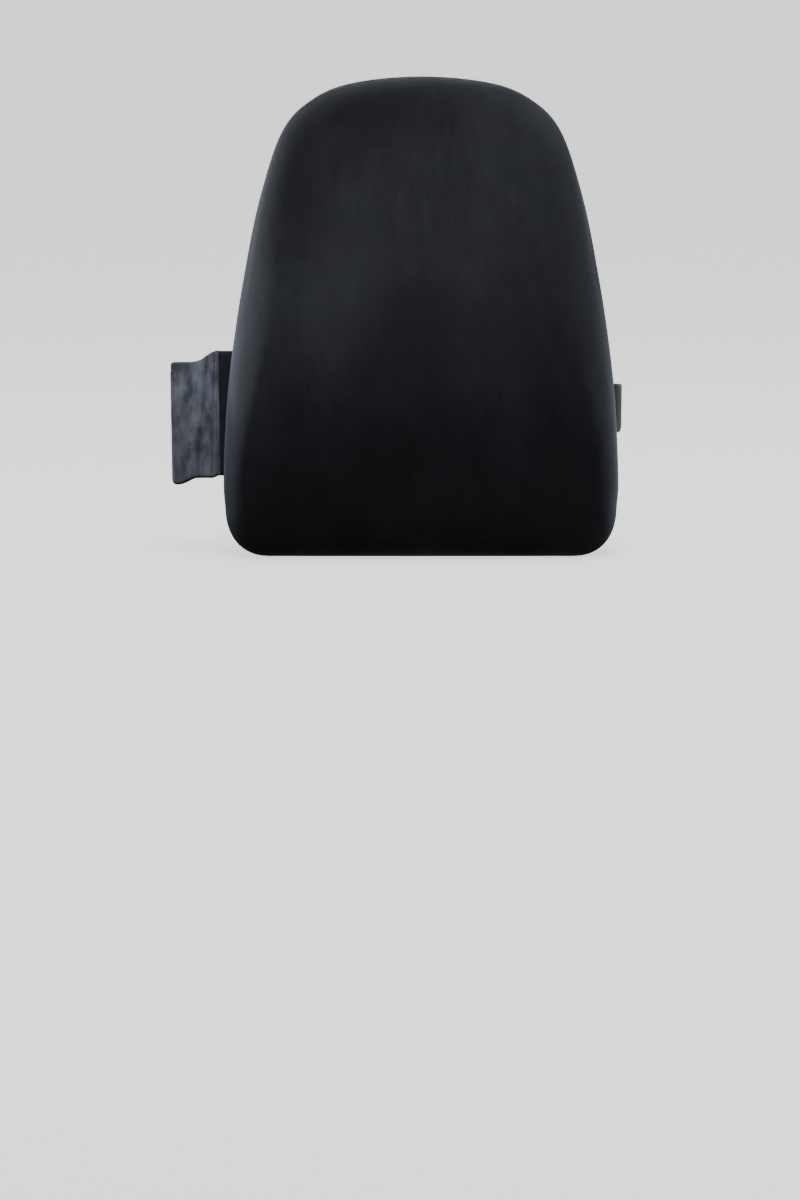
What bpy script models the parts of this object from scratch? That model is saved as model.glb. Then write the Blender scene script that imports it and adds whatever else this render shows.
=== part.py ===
"""Contoured lumbar support cushion with its chair strap and side pouch.

Metres, +Z up. The origin is the middle of the flat bottom. +X is to the right of someone who
faces the cushion, -Y is towards them, and +Y is towards the chair back that the strap goes round.
"""

import math

import bmesh
import bpy
from mathutils import Vector

# ---- the cushion's outline, seen from the front (right half, mirrored to the left) ----
HEIGHT = 0.515
BOTTOM_HALF = 0.169                 # half the flat run along the bottom
CORNER_R = 0.048                    # bottom corners
BOTTOM_STATIONS = (0.040, 0.105, BOTTOM_HALF)
CORNER_STEPS = 5
SIDE_KNOTS = ((0.2183, 0.082), (0.2125, 0.170), (0.2015, 0.250), (0.1880, 0.320), (0.1725, 0.395),
              (0.1500, 0.458), (0.1190, 0.490), (0.0750, 0.508))
TOP_STATION = 0.030                 # last pair of points either side of the top centre

# ---- depths, measured forward from the back face ----
BACK_Y = 0.040                      # outer face of the back panels
EDGE_Y = 0.031                      # where the cushion is widest
RIM_Y = 0.0340                      # rear rim of the front cover
DEPTH_KNOTS = ((0.0, 0.080), (0.06, 0.091), (0.155, 0.100), (0.25, 0.084), (0.34, 0.064),
               (0.43, 0.053), (HEIGHT, 0.046))
CROWN = 0.17                        # how much of the depth is lost from the middle to the sides
BOLSTER_X = 0.152
BOLSTER_RISE = 0.006
BOLSTER_WIDTH = 0.028
BOLSTER_Z = 0.20
BOLSTER_SPAN = 0.12
ROLL_R = 0.042                      # rolled edge, measured in from the outline
WALL_SIDE = 0.006                   # straight wall in front of the widest line
WALL_BOTTOM = 0.045
WALL_FADE = 0.050                   # height over which the bottom wall fades into the side wall
ROLL_STEPS = 5
CORE_SCALE = (0.42, 0.55)           # innermost ring against the outline
CORE_CENTRE_Z = 0.26
CORE_RINGS = 3
CORE_COLUMNS = 5

# ---- thicknesses and clearances ----
GAP = 0.0003
SMOOTH_ANGLE = math.radians(35)
COVER_T = 0.0015
FOAM_INSET = 0.0019
REAR_INSET = 0.0048                 # the foam steps in here, round the corded seam
FOAM_REAR_Y = 0.0369
WELT_R = 0.0018
WELT_INSET = 0.0020
WELT_Y = 0.0362
PANEL_INSET = 0.0015

# ---- S-curved frame ----
FRAME_T = 0.004
FRAME_BEHIND = 0.012                # frame's middle surface in front of the back face, at the top
FRAME_BULGE = 0.020                 # further forward at the lumbar swelling
LUMBAR_Z = 0.155
BULGE_SPAN = 0.085
FRAME_EDGE = 0.030                  # frame's edge in from the outline
SLOT_HALF = 0.016
SLOT_LOW, SLOT_HIGH = 0.110, 0.400

# ---- lumbar pad and its hook tape ----
PAD_HALF = (0.120, 0.052)
PAD_T = 0.020
PAD_CORNER = 0.022
HOOK_T = 0.0018
HOOK_HALF = (0.085, 0.009)
HOOK_OFFSET = 0.030
POCKET_CLEARANCE = 0.0006

# ---- zip across the lower back ----
ZIP_Z = 0.058
ZIP_HALF_LENGTH = 0.170
ZIP_OPENING = 0.006                 # panel edge from the zip's middle line
TAPE_OUTER = 0.0125
TAPE_Y = (0.0372, 0.0382)
COIL_Y = (0.0385, 0.0403)
COIL_OUTER = 0.0028
COIL_INNER = 0.0002
SLIDER_X = 0.160
SLIDER_HALF_LENGTH = 0.005
SLIDER_HALF_WIDTH = 0.0043
SLIDER_CHANNEL = 0.0031
SLIDER_Y = (0.0386, 0.0418)
SLIDER_PLATE_Y = 0.0406
BRIDGE_HALF = 0.0040
BRIDGE_HALF_WIDTH = 0.0009
BRIDGE_TOP = 0.0457
BRIDGE_UNDER = 0.0447
BRIDGE_POST = 0.0010
PULL_Y = 0.0437
PULL_T = 0.0012
PULL_LENGTH = 0.022
PULL_HALF_WIDTH = 0.0030
PULL_ARM = 0.0014
PULL_WINDOW = 0.0062
STOP_X = 0.1665
STOP_LENGTH = 0.0025

# ---- strap, buckle and adjuster ----
STRAP_Z = 0.157
STRAP_HALF = 0.025
STRAP_T = 0.0018
RUN_Y = 0.0803                      # middle of the run beside the chair back
RETURN_Y = 0.0867                   # middle of the folded-back layer
BUCKLE_Y = 0.0835
BUCKLE_HALF = 0.031
BUCKLE_HALF_DEPTH = 0.006
SOCKET_LENGTH = 0.046
SOCKET_SOLID = 0.031
CAVITY_DEPTH = 0.028
CAVITY_HALF = 0.0275
CAVITY_HALF_DEPTH = 0.0038
WINDOW = (0.010, 0.026)
BAR_T = 0.004
BAR_HALF_DEPTH = 0.002
CHEEK_IN = 0.0262
PLUG_BASE = 0.024
PLUG_SHOULDER = 0.008
TONGUE_LENGTH = 0.024
TONGUE_HALF = 0.006
ARM_HALF_DEPTH = 0.0030
ARM_IN, ARM_OUT = 0.0195, 0.0230
ARM_ROOT, ARM_TIP = 0.0003, 0.0245
BARB_START = 0.0115
BARB_OUT = 0.0312
ADJUSTER_X = (-0.131, -0.101)
ADJUSTER_Y = (0.0768, 0.0852)
ADJUSTER_OUTER_BAR_TOP = 0.0790
ADJUSTER_BAR = 0.0035
ADJUSTER_RAIL = 0.003
ADJUSTER_CENTRE_X = (-0.1176, -0.1136)
ADJUSTER_CENTRE_Y = 0.0818
ANCHOR_T = 0.0020
ANCHOR_PATH = ((0.2172, 0.0372), (0.2182, 0.0420), (0.2205, 0.0500))
SIDE_BEND = ((0.2207, 0.0508), (0.2232, 0.0580), (0.2242, 0.0655), (0.2215, 0.0730),
             (0.2150, 0.0783), (0.2050, RUN_Y))
RETURN_END = 0.088                  # where the right strap's folded-back end stops
WRAP_END = ((-0.1165, RETURN_Y), (-0.1190, 0.0859), (-0.1200, 0.0838), (-0.1200, 0.0824))

# ---- side pouch ----
POUCH_Y = 0.028                     # middle plane of the pouch
HINGE_X = -0.2215
POUCH_NEAR = -0.2225
POUCH_FULL = -0.2360                # from here outwards the pouch has its whole depth
POUCH_FAR = -0.2750
POUCH_RISE_START = -0.2480          # the top edge begins to rise towards the seam
POUCH_DROP = (-0.2570, -0.2490)     # the bottom edge drops between these
POUCH_HALF_DEPTH = 0.0080
POUCH_NEAR_HALF = 0.0022
POUCH_T = 0.0012
POUCH_LOW_OUTER = 0.0745
POUCH_LOW_INNER = 0.0820
POUCH_HIGH_OUTER = 0.2090
POUCH_HIGH_INNER = 0.2220
HEM_T = 0.0010
HEM_DROP = 0.010
FLANGE_T = 0.0014
FLANGE_LOW, FLANGE_HIGH = 0.084, 0.214

MODEL = bpy.data.collections.new("lumbar_support_cushion")


# ======================= helpers =======================

def clear_scene():
    for item in list(bpy.data.objects):
        bpy.data.objects.remove(item)
    bpy.context.scene.collection.children.link(MODEL)


def finish_material(name, colour, roughness, metallic=0.0):
    material = bpy.data.materials.new(name)
    material.use_nodes = True
    shader = material.node_tree.nodes["Principled BSDF"]
    shader.inputs["Base Color"].default_value = (*colour, 1.0)
    shader.inputs["Roughness"].default_value = roughness
    shader.inputs["Metallic"].default_value = metallic
    return material


def add_object(name, mesh, material):
    part = bpy.data.objects.new(name, mesh)
    mesh.materials.clear()
    mesh.materials.append(material)
    mesh.shade_smooth()
    mesh.set_sharp_from_angle(angle=SMOOTH_ANGLE)
    MODEL.objects.link(part)
    return part


def mesh_from_bmesh(name, bm):
    bmesh.ops.recalc_face_normals(bm, faces=bm.faces)
    mesh = bpy.data.meshes.new(name)
    bm.to_mesh(mesh)
    bm.free()
    return mesh


def loft(name, sections, material):
    """A closed body through matching sections, each a loop of points."""
    bm = bmesh.new()
    loops = [[bm.verts.new(point) for point in section] for section in sections]
    count = len(loops[0])
    for first, second in zip(loops, loops[1:]):
        for i in range(count):
            j = (i + 1) % count
            bm.faces.new((first[i], first[j], second[j], second[i]))
    bm.faces.new(loops[0][::-1])
    bm.faces.new(loops[-1])
    return add_object(name, mesh_from_bmesh(name, bm), material)


def box_mesh(name, low, high):
    bm = bmesh.new()
    bmesh.ops.create_cube(bm, size=1.0)
    for vert in bm.verts:
        for axis in range(3):
            vert.co[axis] = low[axis] if vert.co[axis] < 0 else high[axis]
    return mesh_from_bmesh(name, bm)


def add_box(name, low, high, material, bevel=0.0):
    part = add_object(name, box_mesh(name, low, high), material)
    if bevel:
        add_bevel(part, bevel)
    return part


def add_bevel(part, width, segments=2):
    bevel = part.modifiers.new("rounded_edges", "BEVEL")
    bevel.width = width
    bevel.segments = segments
    bevel.limit_method = "ANGLE"
    return bevel


def make_helper(part):
    part.hide_render = True
    part.display_type = "WIRE"
    return part


def combine(part, tool, operation):
    step = part.modifiers.new(operation.lower(), "BOOLEAN")
    step.operation = operation
    step.solver = "EXACT"
    step.object = make_helper(tool)


def cut_box(part, label, low, high, material):
    tool = add_box(part.name + "_cut_" + label, low, high, material)
    combine(part, tool, "DIFFERENCE")


def prism(name, outline, y_low, y_high, material):
    """An XZ outline pushed through from y_low to y_high."""
    sections = [[(x, y, z) for x, z in outline] for y in (y_low, y_high)]
    return loft(name, sections, material)


def smoothstep(value):
    value = min(max(value, 0.0), 1.0)
    return value * value * (3 - 2 * value)


def spline(p0, p1, p2, p3, t):
    """Catmull-Rom between p1 and p2."""
    return 0.5 * (2 * p1 + (p2 - p0) * t + (2 * p0 - 5 * p1 + 4 * p2 - p3) * t * t
                  + (3 * p1 - p0 - 3 * p2 + p3) * t ** 3)


# ======================= the cushion's form =======================

def right_half():
    """Points up the right side, from beside the bottom centre to beside the top centre."""
    points = [Vector((x, 0.0)) for x in BOTTOM_STATIONS]
    for step in range(1, CORNER_STEPS):
        angle = math.radians(-90 + 90 * step / CORNER_STEPS)
        offset = Vector((math.cos(angle), 1 + math.sin(angle))) * CORNER_R
        points.append(Vector((BOTTOM_HALF, 0.0)) + offset)
    knots = [Vector((BOTTOM_HALF + CORNER_R, CORNER_R))]
    knots += [Vector(knot) for knot in SIDE_KNOTS]
    knots.append(Vector((0.0, HEIGHT)))
    ends = [points[-1], *knots, Vector((-knots[-2].x, knots[-2].y))]
    for i in range(1, len(ends) - 2):
        points.append(ends[i])
        if i < len(ends) - 3:
            points.append(spline(*ends[i - 1:i + 3], 0.5))
    points.append(spline(*ends[-4:], 1 - TOP_STATION / knots[-2].x))
    return points


RIGHT = right_half()
PAIRS = len(RIGHT)
OUTLINE = RIGHT + [Vector((0.0, HEIGHT))] + [Vector((-p.x, p.y)) for p in reversed(RIGHT)]
COUNT = len(OUTLINE)


def inward(i):
    """Unit normal into the cushion at outline point i."""
    along = OUTLINE[(i + 1) % COUNT] - OUTLINE[i - 1]
    return Vector((-along.y, along.x)).normalized()


def edge_point(i, inset):
    return OUTLINE[i] + inward(i) * inset


def towards_core(i, inset, distance):
    """Outline point i, moved in by the inset and then a distance towards the core ring."""
    start = edge_point(i, inset)
    end = core_point(i)
    return start + (end - start).normalized() * distance


def core_point(i):
    point = OUTLINE[i]
    return Vector((point.x * CORE_SCALE[0], CORE_CENTRE_Z + (point.y - CORE_CENTRE_Z) * CORE_SCALE[1]))


def half_width(z):
    for low, high in zip(RIGHT, RIGHT[1:]):
        if low.y <= z <= high.y and high.y > low.y:
            share = (z - low.y) / (high.y - low.y)
            return low.x + (high.x - low.x) * share
    return BOTTOM_HALF if z <= 0 else 0.0


def centre_depth(z):
    knots = DEPTH_KNOTS
    z = min(max(z, 0.0), HEIGHT)
    for i in range(len(knots) - 1):
        if z <= knots[i + 1][0]:
            share = (z - knots[i][0]) / (knots[i + 1][0] - knots[i][0])
            before = knots[max(i - 1, 0)][1]
            after = knots[min(i + 2, len(knots) - 1)][1]
            return spline(before, knots[i][1], knots[i + 1][1], after, share)
    return knots[-1][1]


def front_y(x, z):
    """The front face before its edges are rolled: crowned, with a bolster down each side."""
    reach = abs(x) / max(half_width(z), 0.05)
    depth = centre_depth(z) * (1 - CROWN * min(reach, 1.0) ** 2)
    across = math.exp(-((abs(x) - BOLSTER_X) / BOLSTER_WIDTH) ** 2)
    height = math.exp(-((z - BOLSTER_Z) / BOLSTER_SPAN) ** 2)
    return BACK_Y - depth - BOLSTER_RISE * across * height


def wall_y(i):
    fade = smoothstep(1 - OUTLINE[i].y / WALL_FADE)
    return EDGE_Y - WALL_SIDE - (WALL_BOTTOM - WALL_SIDE) * fade


def front_rings(inset):
    """Rings of the front face, from the core ring out to the widest line."""
    rings = []
    for step in range(CORE_RINGS + 1):
        share = step / (CORE_RINGS + 1)
        ring = []
        for i in range(COUNT):
            shoulder = towards_core(i, inset, ROLL_R - inset)
            flat = core_point(i).lerp(shoulder, share)
            ring.append(Vector((flat.x, front_y(*flat) + inset, flat.y)))
        rings.append(ring)
    for step in range(ROLL_STEPS + 1):
        angle = math.radians(90 - 90 * step / ROLL_STEPS)
        ring = []
        for i in range(COUNT):
            flat = towards_core(i, inset, (ROLL_R - inset) * (1 - math.cos(angle)))
            start = wall_y(i)
            y = start + (front_y(*flat) + inset - start) * math.sin(angle)
            ring.append(Vector((flat.x, y, flat.y)))
        rings.append(ring)
    rings.append(flat_ring(inset, EDGE_Y))
    return rings


def flat_ring(inset, y):
    flats = [edge_point(i, inset) for i in range(COUNT)]
    return [Vector((flat.x, y, flat.y)) for flat in flats]


def level_ring(inset, distance, height):
    """A ring a distance in from the outline, at the y that height(x, z) gives."""
    flats = [towards_core(i, inset, distance) for i in range(COUNT)]
    return [Vector((flat.x, height(*flat), flat.y)) for flat in flats]


def core_ring(height):
    flats = [core_point(i) for i in range(COUNT)]
    return [Vector((flat.x, height(*flat), flat.y)) for flat in flats]


def fill_core(bm, ring, height):
    """Closes the inside of a core ring with rows that run from its left to its right."""
    rows = []
    flat_run = len(BOTTOM_STATIONS)
    for i in range(flat_run, PAIRS):
        right, left = ring[i], ring[COUNT - 1 - i]
        row = [left]
        for column in range(1, CORE_COLUMNS):
            point = left.co.lerp(right.co, column / CORE_COLUMNS)
            row.append(bm.verts.new((point.x, height(point.x, point.z), point.z)))
        rows.append(row + [right])
    for low, high in zip(rows, rows[1:]):
        for c in range(CORE_COLUMNS):
            bm.faces.new((low[c], low[c + 1], high[c + 1], high[c]))
    bm.faces.new([*ring[-flat_run:], *ring[:flat_run], *reversed(rows[0])])
    top = ring[PAIRS]
    for c in range(CORE_COLUMNS):
        bm.faces.new((rows[-1][c], rows[-1][c + 1], top))


def ringed_body(name, rings, first_height, last_height, material):
    """A closed body through rings, its first and last ring filled across."""
    bm = bmesh.new()
    loops = [[bm.verts.new(point) for point in ring] for ring in rings]
    for first, second in zip(loops, loops[1:]):
        for i in range(COUNT):
            j = (i + 1) % COUNT
            bm.faces.new((first[i], first[j], second[j], second[i]))
    fill_core(bm, loops[0], first_height)
    fill_core(bm, loops[-1], last_height)
    bmesh.ops.triangulate(bm, faces=bm.faces)
    return add_object(name, mesh_from_bmesh(name, bm), material)


def frame_y(x, z):
    bulge = math.exp(-((z - LUMBAR_Z) / BULGE_SPAN) ** 2)
    return BACK_Y - FRAME_BEHIND - FRAME_BULGE * bulge


def beside_frame(offset):
    return lambda x, z: frame_y(x, z) + offset


# ======================= soft parts and frame =======================

def make_cover_front(material):
    inner_height = lambda x, z: front_y(x, z) + COVER_T
    outer = front_rings(0.0)
    inner = front_rings(COVER_T)
    rims = [flat_ring(COVER_T / 4, RIM_Y), flat_ring(COVER_T, RIM_Y)]
    ringed_body("cover_front", outer + rims + inner[::-1], front_y, inner_height, material)


def make_foam_core(material):
    """The contoured block: it wraps the frame's edge and is hollowed for frame and pad."""
    face_height = lambda x, z: front_y(x, z) + FOAM_INSET
    ahead = beside_frame(-FRAME_T / 2 - GAP)
    step = FRAME_EDGE - FOAM_INSET - 4 * GAP
    rings = front_rings(FOAM_INSET)[:-1]
    rings += [flat_ring(FOAM_INSET, RIM_Y - GAP), flat_ring(REAR_INSET, RIM_Y - GAP)]
    rings += [flat_ring(REAR_INSET, FOAM_REAR_Y), level_ring(FOAM_INSET, step, foam_rear)]
    rings += [level_ring(FOAM_INSET, step + GAP, ahead), core_ring(ahead)]
    foam = ringed_body("foam_core", rings, face_height, ahead, material)
    reach_back = HOOK_T + 3 * GAP + FRAME_T
    pocket = pad_body("foam_core_cut_pocket", POCKET_CLEARANCE, reach_back, material)
    combine(foam, pocket, "DIFFERENCE")


def foam_rear(x, z):
    return FOAM_REAR_Y


def make_rear_foam(material):
    ahead = beside_frame(FRAME_T / 2 + GAP)
    rings = [core_ring(ahead), level_ring(0.0, FRAME_EDGE, ahead)]
    rings += [level_ring(0.0, FRAME_EDGE, foam_rear), core_ring(foam_rear)]
    ringed_body("rear_foam_layer", rings, ahead, foam_rear, material)


def make_frame_shell(material):
    front = beside_frame(-FRAME_T / 2)
    back = beside_frame(FRAME_T / 2)
    rings = [core_ring(front), level_ring(0.0, FRAME_EDGE, front)]
    rings += [level_ring(0.0, FRAME_EDGE, back), core_ring(back)]
    frame = ringed_body("frame_shell", rings, front, back, material)
    slot = prism("frame_shell_cut_slot", slot_outline(), -BACK_Y, BACK_Y, material)
    combine(frame, slot, "DIFFERENCE")


def slot_outline():
    points = []
    for centre, start in ((SLOT_HIGH - SLOT_HALF, 0), (SLOT_LOW + SLOT_HALF, 180)):
        for step in range(7):
            angle = math.radians(start + 30 * step)
            points.append((SLOT_HALF * math.cos(angle), centre + SLOT_HALF * math.sin(angle)))
    return points


def rounded_rows(half, corner, rows):
    """Half-widths and heights of a rounded rectangle, row by row from bottom to top."""
    out = []
    for row in range(rows + 1):
        z = -half[1] + 2 * half[1] * row / rows
        beyond = max(abs(z) - (half[1] - corner), 0.0)
        out.append((half[0] - corner + math.sqrt(max(corner ** 2 - beyond ** 2, 0.0)), z))
    return out


def pad_body(name, grow, reach_back, material):
    """The lumbar pad's block: it follows the frame's curve behind and swells in front."""
    rows = 10
    half = (PAD_HALF[0] + grow, PAD_HALF[1] + grow)
    seat = -FRAME_T / 2 - 2 * GAP - HOOK_T
    back = seat + reach_back
    sections = []
    for width, z in rounded_rows(half, PAD_CORNER, rows):
        height = z + LUMBAR_Z
        front = seat - grow
        section = []
        for x, depth in ((-width, back), (width, back), (width, front - 0.55 * PAD_T),
                         (width * 0.6, front - 0.9 * PAD_T), (0.0, front - PAD_T),
                         (-width * 0.6, front - 0.9 * PAD_T), (-width, front - 0.55 * PAD_T)):
            section.append((x, frame_y(x, height) + depth, height))
        sections.append(section)
    return loft(name, sections, material)


def make_hook_strip(name, centre, material):
    steps = 3
    sections = []
    for step in range(steps + 1):
        z = centre - HOOK_HALF[1] + 2 * HOOK_HALF[1] * step / steps
        rear = frame_y(0, z) - FRAME_T / 2 - GAP
        sections.append([(-HOOK_HALF[0], rear, z), (HOOK_HALF[0], rear, z),
                         (HOOK_HALF[0], rear - HOOK_T + GAP, z), (-HOOK_HALF[0], rear - HOOK_T + GAP, z)])
    loft(name, sections, material)


def make_back_panels(material):
    edge = [edge_point(i, PANEL_INSET) for i in range(COUNT)]
    reach = half_width(ZIP_Z) - PANEL_INSET
    upper_edge = ZIP_Z + ZIP_OPENING
    lower_edge = ZIP_Z - ZIP_OPENING
    above = [(p.x, p.y) for p in edge if p.y > upper_edge + 4 * PANEL_INSET]
    upper = [(reach, upper_edge), *above, (-reach, upper_edge)]
    below_right = [(p.x, p.y) for p in edge[:PAIRS] if p.y < lower_edge - PANEL_INSET]
    below_left = [(-x, z) for x, z in reversed(below_right)]
    lower = [*below_right, (reach, lower_edge), (-reach, lower_edge), *below_left]
    for name, outline in (("cover_back_upper", upper), ("cover_back_lower", lower)):
        prism(name, outline, BACK_Y - COVER_T, BACK_Y, material)


def make_welt(material):
    curve = bpy.data.curves.new("seam_welt", "CURVE")
    curve.dimensions = "3D"
    run = curve.splines.new("POLY")
    points = [edge_point(i, WELT_INSET + GAP) for i in range(COUNT)]
    run.points.add(len(points) - 1)
    for slot, point in zip(run.points, points):
        slot.co = (point.x, WELT_Y, point.y, 1.0)
    run.use_cyclic_u = True
    curve.bevel_depth = WELT_R
    curve.bevel_resolution = 2
    curve.materials.append(material)
    MODEL.objects.link(bpy.data.objects.new("seam_welt", curve))


# ======================= zip =======================

def make_zip(tape_material, coil_material, metal):
    for name, side in (("upper", 1), ("lower", -1)):
        tape = sorted((ZIP_Z + side * COIL_INNER, ZIP_Z + side * TAPE_OUTER))
        add_box("zipper_tape_" + name, (-ZIP_HALF_LENGTH, TAPE_Y[0], tape[0]),
                (ZIP_HALF_LENGTH, TAPE_Y[1], tape[1]), tape_material)
        coil = sorted((ZIP_Z + side * COIL_INNER, ZIP_Z + side * COIL_OUTER))
        add_box("zipper_coil_" + name, (-STOP_X + GAP, COIL_Y[0], coil[0]),
                (STOP_X - GAP, COIL_Y[1], coil[1]), coil_material)
    for name, start in (("closed", STOP_X), ("open", -STOP_X - STOP_LENGTH)):
        add_box("zipper_stop_" + name, (start, COIL_Y[0], ZIP_Z - SLIDER_CHANNEL),
                (start + STOP_LENGTH, COIL_Y[1] + GAP, ZIP_Z + SLIDER_CHANNEL), metal, bevel=0.0004)
    make_slider(metal)
    make_pull(metal)


def make_slider(metal):
    slider = add_box("zipper_slider",
                     (SLIDER_X - SLIDER_HALF_LENGTH, SLIDER_Y[0], ZIP_Z - SLIDER_HALF_WIDTH),
                     (SLIDER_X + SLIDER_HALF_LENGTH, SLIDER_Y[1], ZIP_Z + SLIDER_HALF_WIDTH), metal)
    long = SLIDER_HALF_LENGTH + GAP
    cut_box(slider, "channel", (SLIDER_X - long, SLIDER_Y[0] - GAP, ZIP_Z - SLIDER_CHANNEL),
            (SLIDER_X + long, SLIDER_PLATE_Y, ZIP_Z + SLIDER_CHANNEL), metal)
    for side in (1, -1):
        inner = SLIDER_X + side * (BRIDGE_HALF - BRIDGE_POST)
        outer = SLIDER_X + side * BRIDGE_HALF
        add_union(slider, "post", (min(inner, outer), SLIDER_Y[1] - GAP, ZIP_Z - BRIDGE_HALF_WIDTH),
                  (max(inner, outer), BRIDGE_TOP, ZIP_Z + BRIDGE_HALF_WIDTH), metal)
    add_union(slider, "top", (SLIDER_X - BRIDGE_HALF, BRIDGE_UNDER, ZIP_Z - BRIDGE_HALF_WIDTH),
              (SLIDER_X + BRIDGE_HALF, BRIDGE_TOP, ZIP_Z + BRIDGE_HALF_WIDTH), metal)


def add_union(part, label, low, high, material):
    tool = add_box(part.name + "_join_" + label, low, high, material)
    combine(part, tool, "UNION")


def make_pull(metal):
    """The tab hangs on the slider's bridge by the bar at its end, and turns about that bar."""
    half = PULL_T / 2
    pull = add_box("zipper_pull", (-PULL_LENGTH, -half, -PULL_HALF_WIDTH),
                   (half, half, PULL_HALF_WIDTH), metal)
    cut_box(pull, "window", (-PULL_WINDOW, -PULL_T, -PULL_ARM), (-half, PULL_T, PULL_ARM), metal)
    hinge = bpy.data.objects.new("pull_hinge", None)
    hinge.location = (SLIDER_X, PULL_Y, ZIP_Z)
    MODEL.objects.link(hinge)
    pull.parent = hinge
    bpy.data.objects["zipper_pull_cut_window"].parent = hinge


# ======================= strap, buckle, adjuster =======================

def ribbon(name, path, material, half=STRAP_HALF, thickness=STRAP_T):
    """Flat webbing on edge: its middle line is a path in X and Y, its width is along Z."""
    points = [Vector(point) for point in path]
    sections = []
    for i, point in enumerate(points):
        before = points[max(i - 1, 0)]
        after = points[min(i + 1, len(points) - 1)]
        along = (after - before).normalized()
        side = Vector((-along.y, along.x)) * thickness / 2
        a, b = point + side, point - side
        low, high = STRAP_Z - half, STRAP_Z + half
        sections.append([(a.x, a.y, low), (a.x, a.y, high), (b.x, b.y, high), (b.x, b.y, low)])
    return loft(name, sections, material)


def make_anchor(name, side, material):
    """A folded tab in the side seam, which the elastic is sewn to."""
    ribbon(name, [(side * x, y) for x, y in ANCHOR_PATH], material, STRAP_HALF + 0.001, ANCHOR_T)


def turn_round_bar(side, bar_outer):
    """The U that the webbing makes round a buckle's bar, into the buckle and back out."""
    inner = bar_outer - side * BAR_T
    radius = RETURN_Y - BUCKLE_Y
    points = []
    for step in range(7):
        angle = math.radians(-90 + 30 * step)
        x = inner + side * GAP * 2 - side * math.cos(angle) * (radius - GAP)
        points.append((x, BUCKLE_Y + radius * math.sin(angle)))
    return points


def make_straps(material):
    """Each strap runs from its seam tab, round the side of the chair back, through its bar and back."""
    lead = 0.01
    right = [*SIDE_BEND, (SOCKET_LENGTH + lead, RUN_Y)]
    right += turn_round_bar(1, SOCKET_LENGTH)
    right += [(SOCKET_LENGTH + lead, RETURN_Y), (RETURN_END, RETURN_Y)]
    ribbon("strap_right", right, material)
    left = [(-x, y) for x, y in SIDE_BEND] + [(-PLUG_BASE - lead, RUN_Y)]
    left += turn_round_bar(-1, -PLUG_BASE)
    left += [(-PLUG_BASE - lead, RETURN_Y), *WRAP_END]
    ribbon("strap_left", left, material)


def buckle_box(x_low, x_high, y_half, z_low, z_high):
    return ((x_low, BUCKLE_Y - y_half, STRAP_Z + z_low), (x_high, BUCKLE_Y + y_half, STRAP_Z + z_high))


def thin_the_bar(part, x_low, x_high, material):
    """Leaves only a slim bar between the two cheeks that hold it."""
    for label, low, high in (("front", -2 * BUCKLE_HALF_DEPTH, -BAR_HALF_DEPTH),
                             ("rear", BAR_HALF_DEPTH, 2 * BUCKLE_HALF_DEPTH)):
        cut_box(part, label, (x_low, BUCKLE_Y + low, STRAP_Z - CHEEK_IN),
                (x_high, BUCKLE_Y + high, STRAP_Z + CHEEK_IN), material)


def make_socket(material):
    socket = add_box("buckle_socket", *buckle_box(0.0, SOCKET_LENGTH, BUCKLE_HALF_DEPTH,
                                                  -BUCKLE_HALF, BUCKLE_HALF), material)
    add_bevel(socket, 0.0018)
    beyond = 0.001
    cut_box(socket, "cavity", *buckle_box(-beyond, CAVITY_DEPTH, CAVITY_HALF_DEPTH,
                                          -CAVITY_HALF, CAVITY_HALF), material)
    cut_box(socket, "windows", *buckle_box(*WINDOW, CAVITY_HALF_DEPTH,
                                           -BUCKLE_HALF - beyond, BUCKLE_HALF + beyond), material)
    cut_box(socket, "slot", *buckle_box(SOCKET_SOLID, SOCKET_LENGTH - BAR_T, 2 * BUCKLE_HALF_DEPTH,
                                        -CHEEK_IN, CHEEK_IN), material)
    thin_the_bar(socket, SOCKET_SOLID, SOCKET_LENGTH + beyond, material)


def make_plug(material):
    beyond = 0.001
    plug = add_box("buckle_plug", *buckle_box(-PLUG_BASE, -2 * GAP, BUCKLE_HALF_DEPTH,
                                              -BUCKLE_HALF, BUCKLE_HALF), material)
    add_bevel(plug, 0.0018)
    cut_box(plug, "slot", *buckle_box(-PLUG_BASE + BAR_T, -PLUG_SHOULDER, 2 * BUCKLE_HALF_DEPTH,
                                      -CHEEK_IN, CHEEK_IN), material)
    thin_the_bar(plug, -PLUG_BASE - beyond, -PLUG_SHOULDER, material)
    low, high = buckle_box(-PLUG_SHOULDER / 2, TONGUE_LENGTH, ARM_HALF_DEPTH, -TONGUE_HALF, TONGUE_HALF)
    add_union(plug, "tongue", low, high, material)


def make_prong(name, side, material):
    """A springy arm with a barb that stands out through the socket's side window."""
    outline = [(0.0, ARM_IN - ARM_OUT), (ARM_TIP - ARM_ROOT, ARM_IN - ARM_OUT),
               (ARM_TIP - ARM_ROOT, 0.002), (0.0195, BARB_OUT - ARM_OUT),
               (BARB_START - ARM_ROOT, BARB_OUT - ARM_OUT), (BARB_START - ARM_ROOT, 0.0), (0.0, 0.0)]
    outline = [(x, side * z) for x, z in outline]
    prong = prism(name, outline, -ARM_HALF_DEPTH, ARM_HALF_DEPTH, material)
    root = bpy.data.objects.new(name + "_hinge", None)
    root.location = (ARM_ROOT, BUCKLE_Y, STRAP_Z + side * ARM_OUT)
    MODEL.objects.link(root)
    prong.parent = root
    add_bevel(prong, 0.0005, segments=1)


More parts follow.
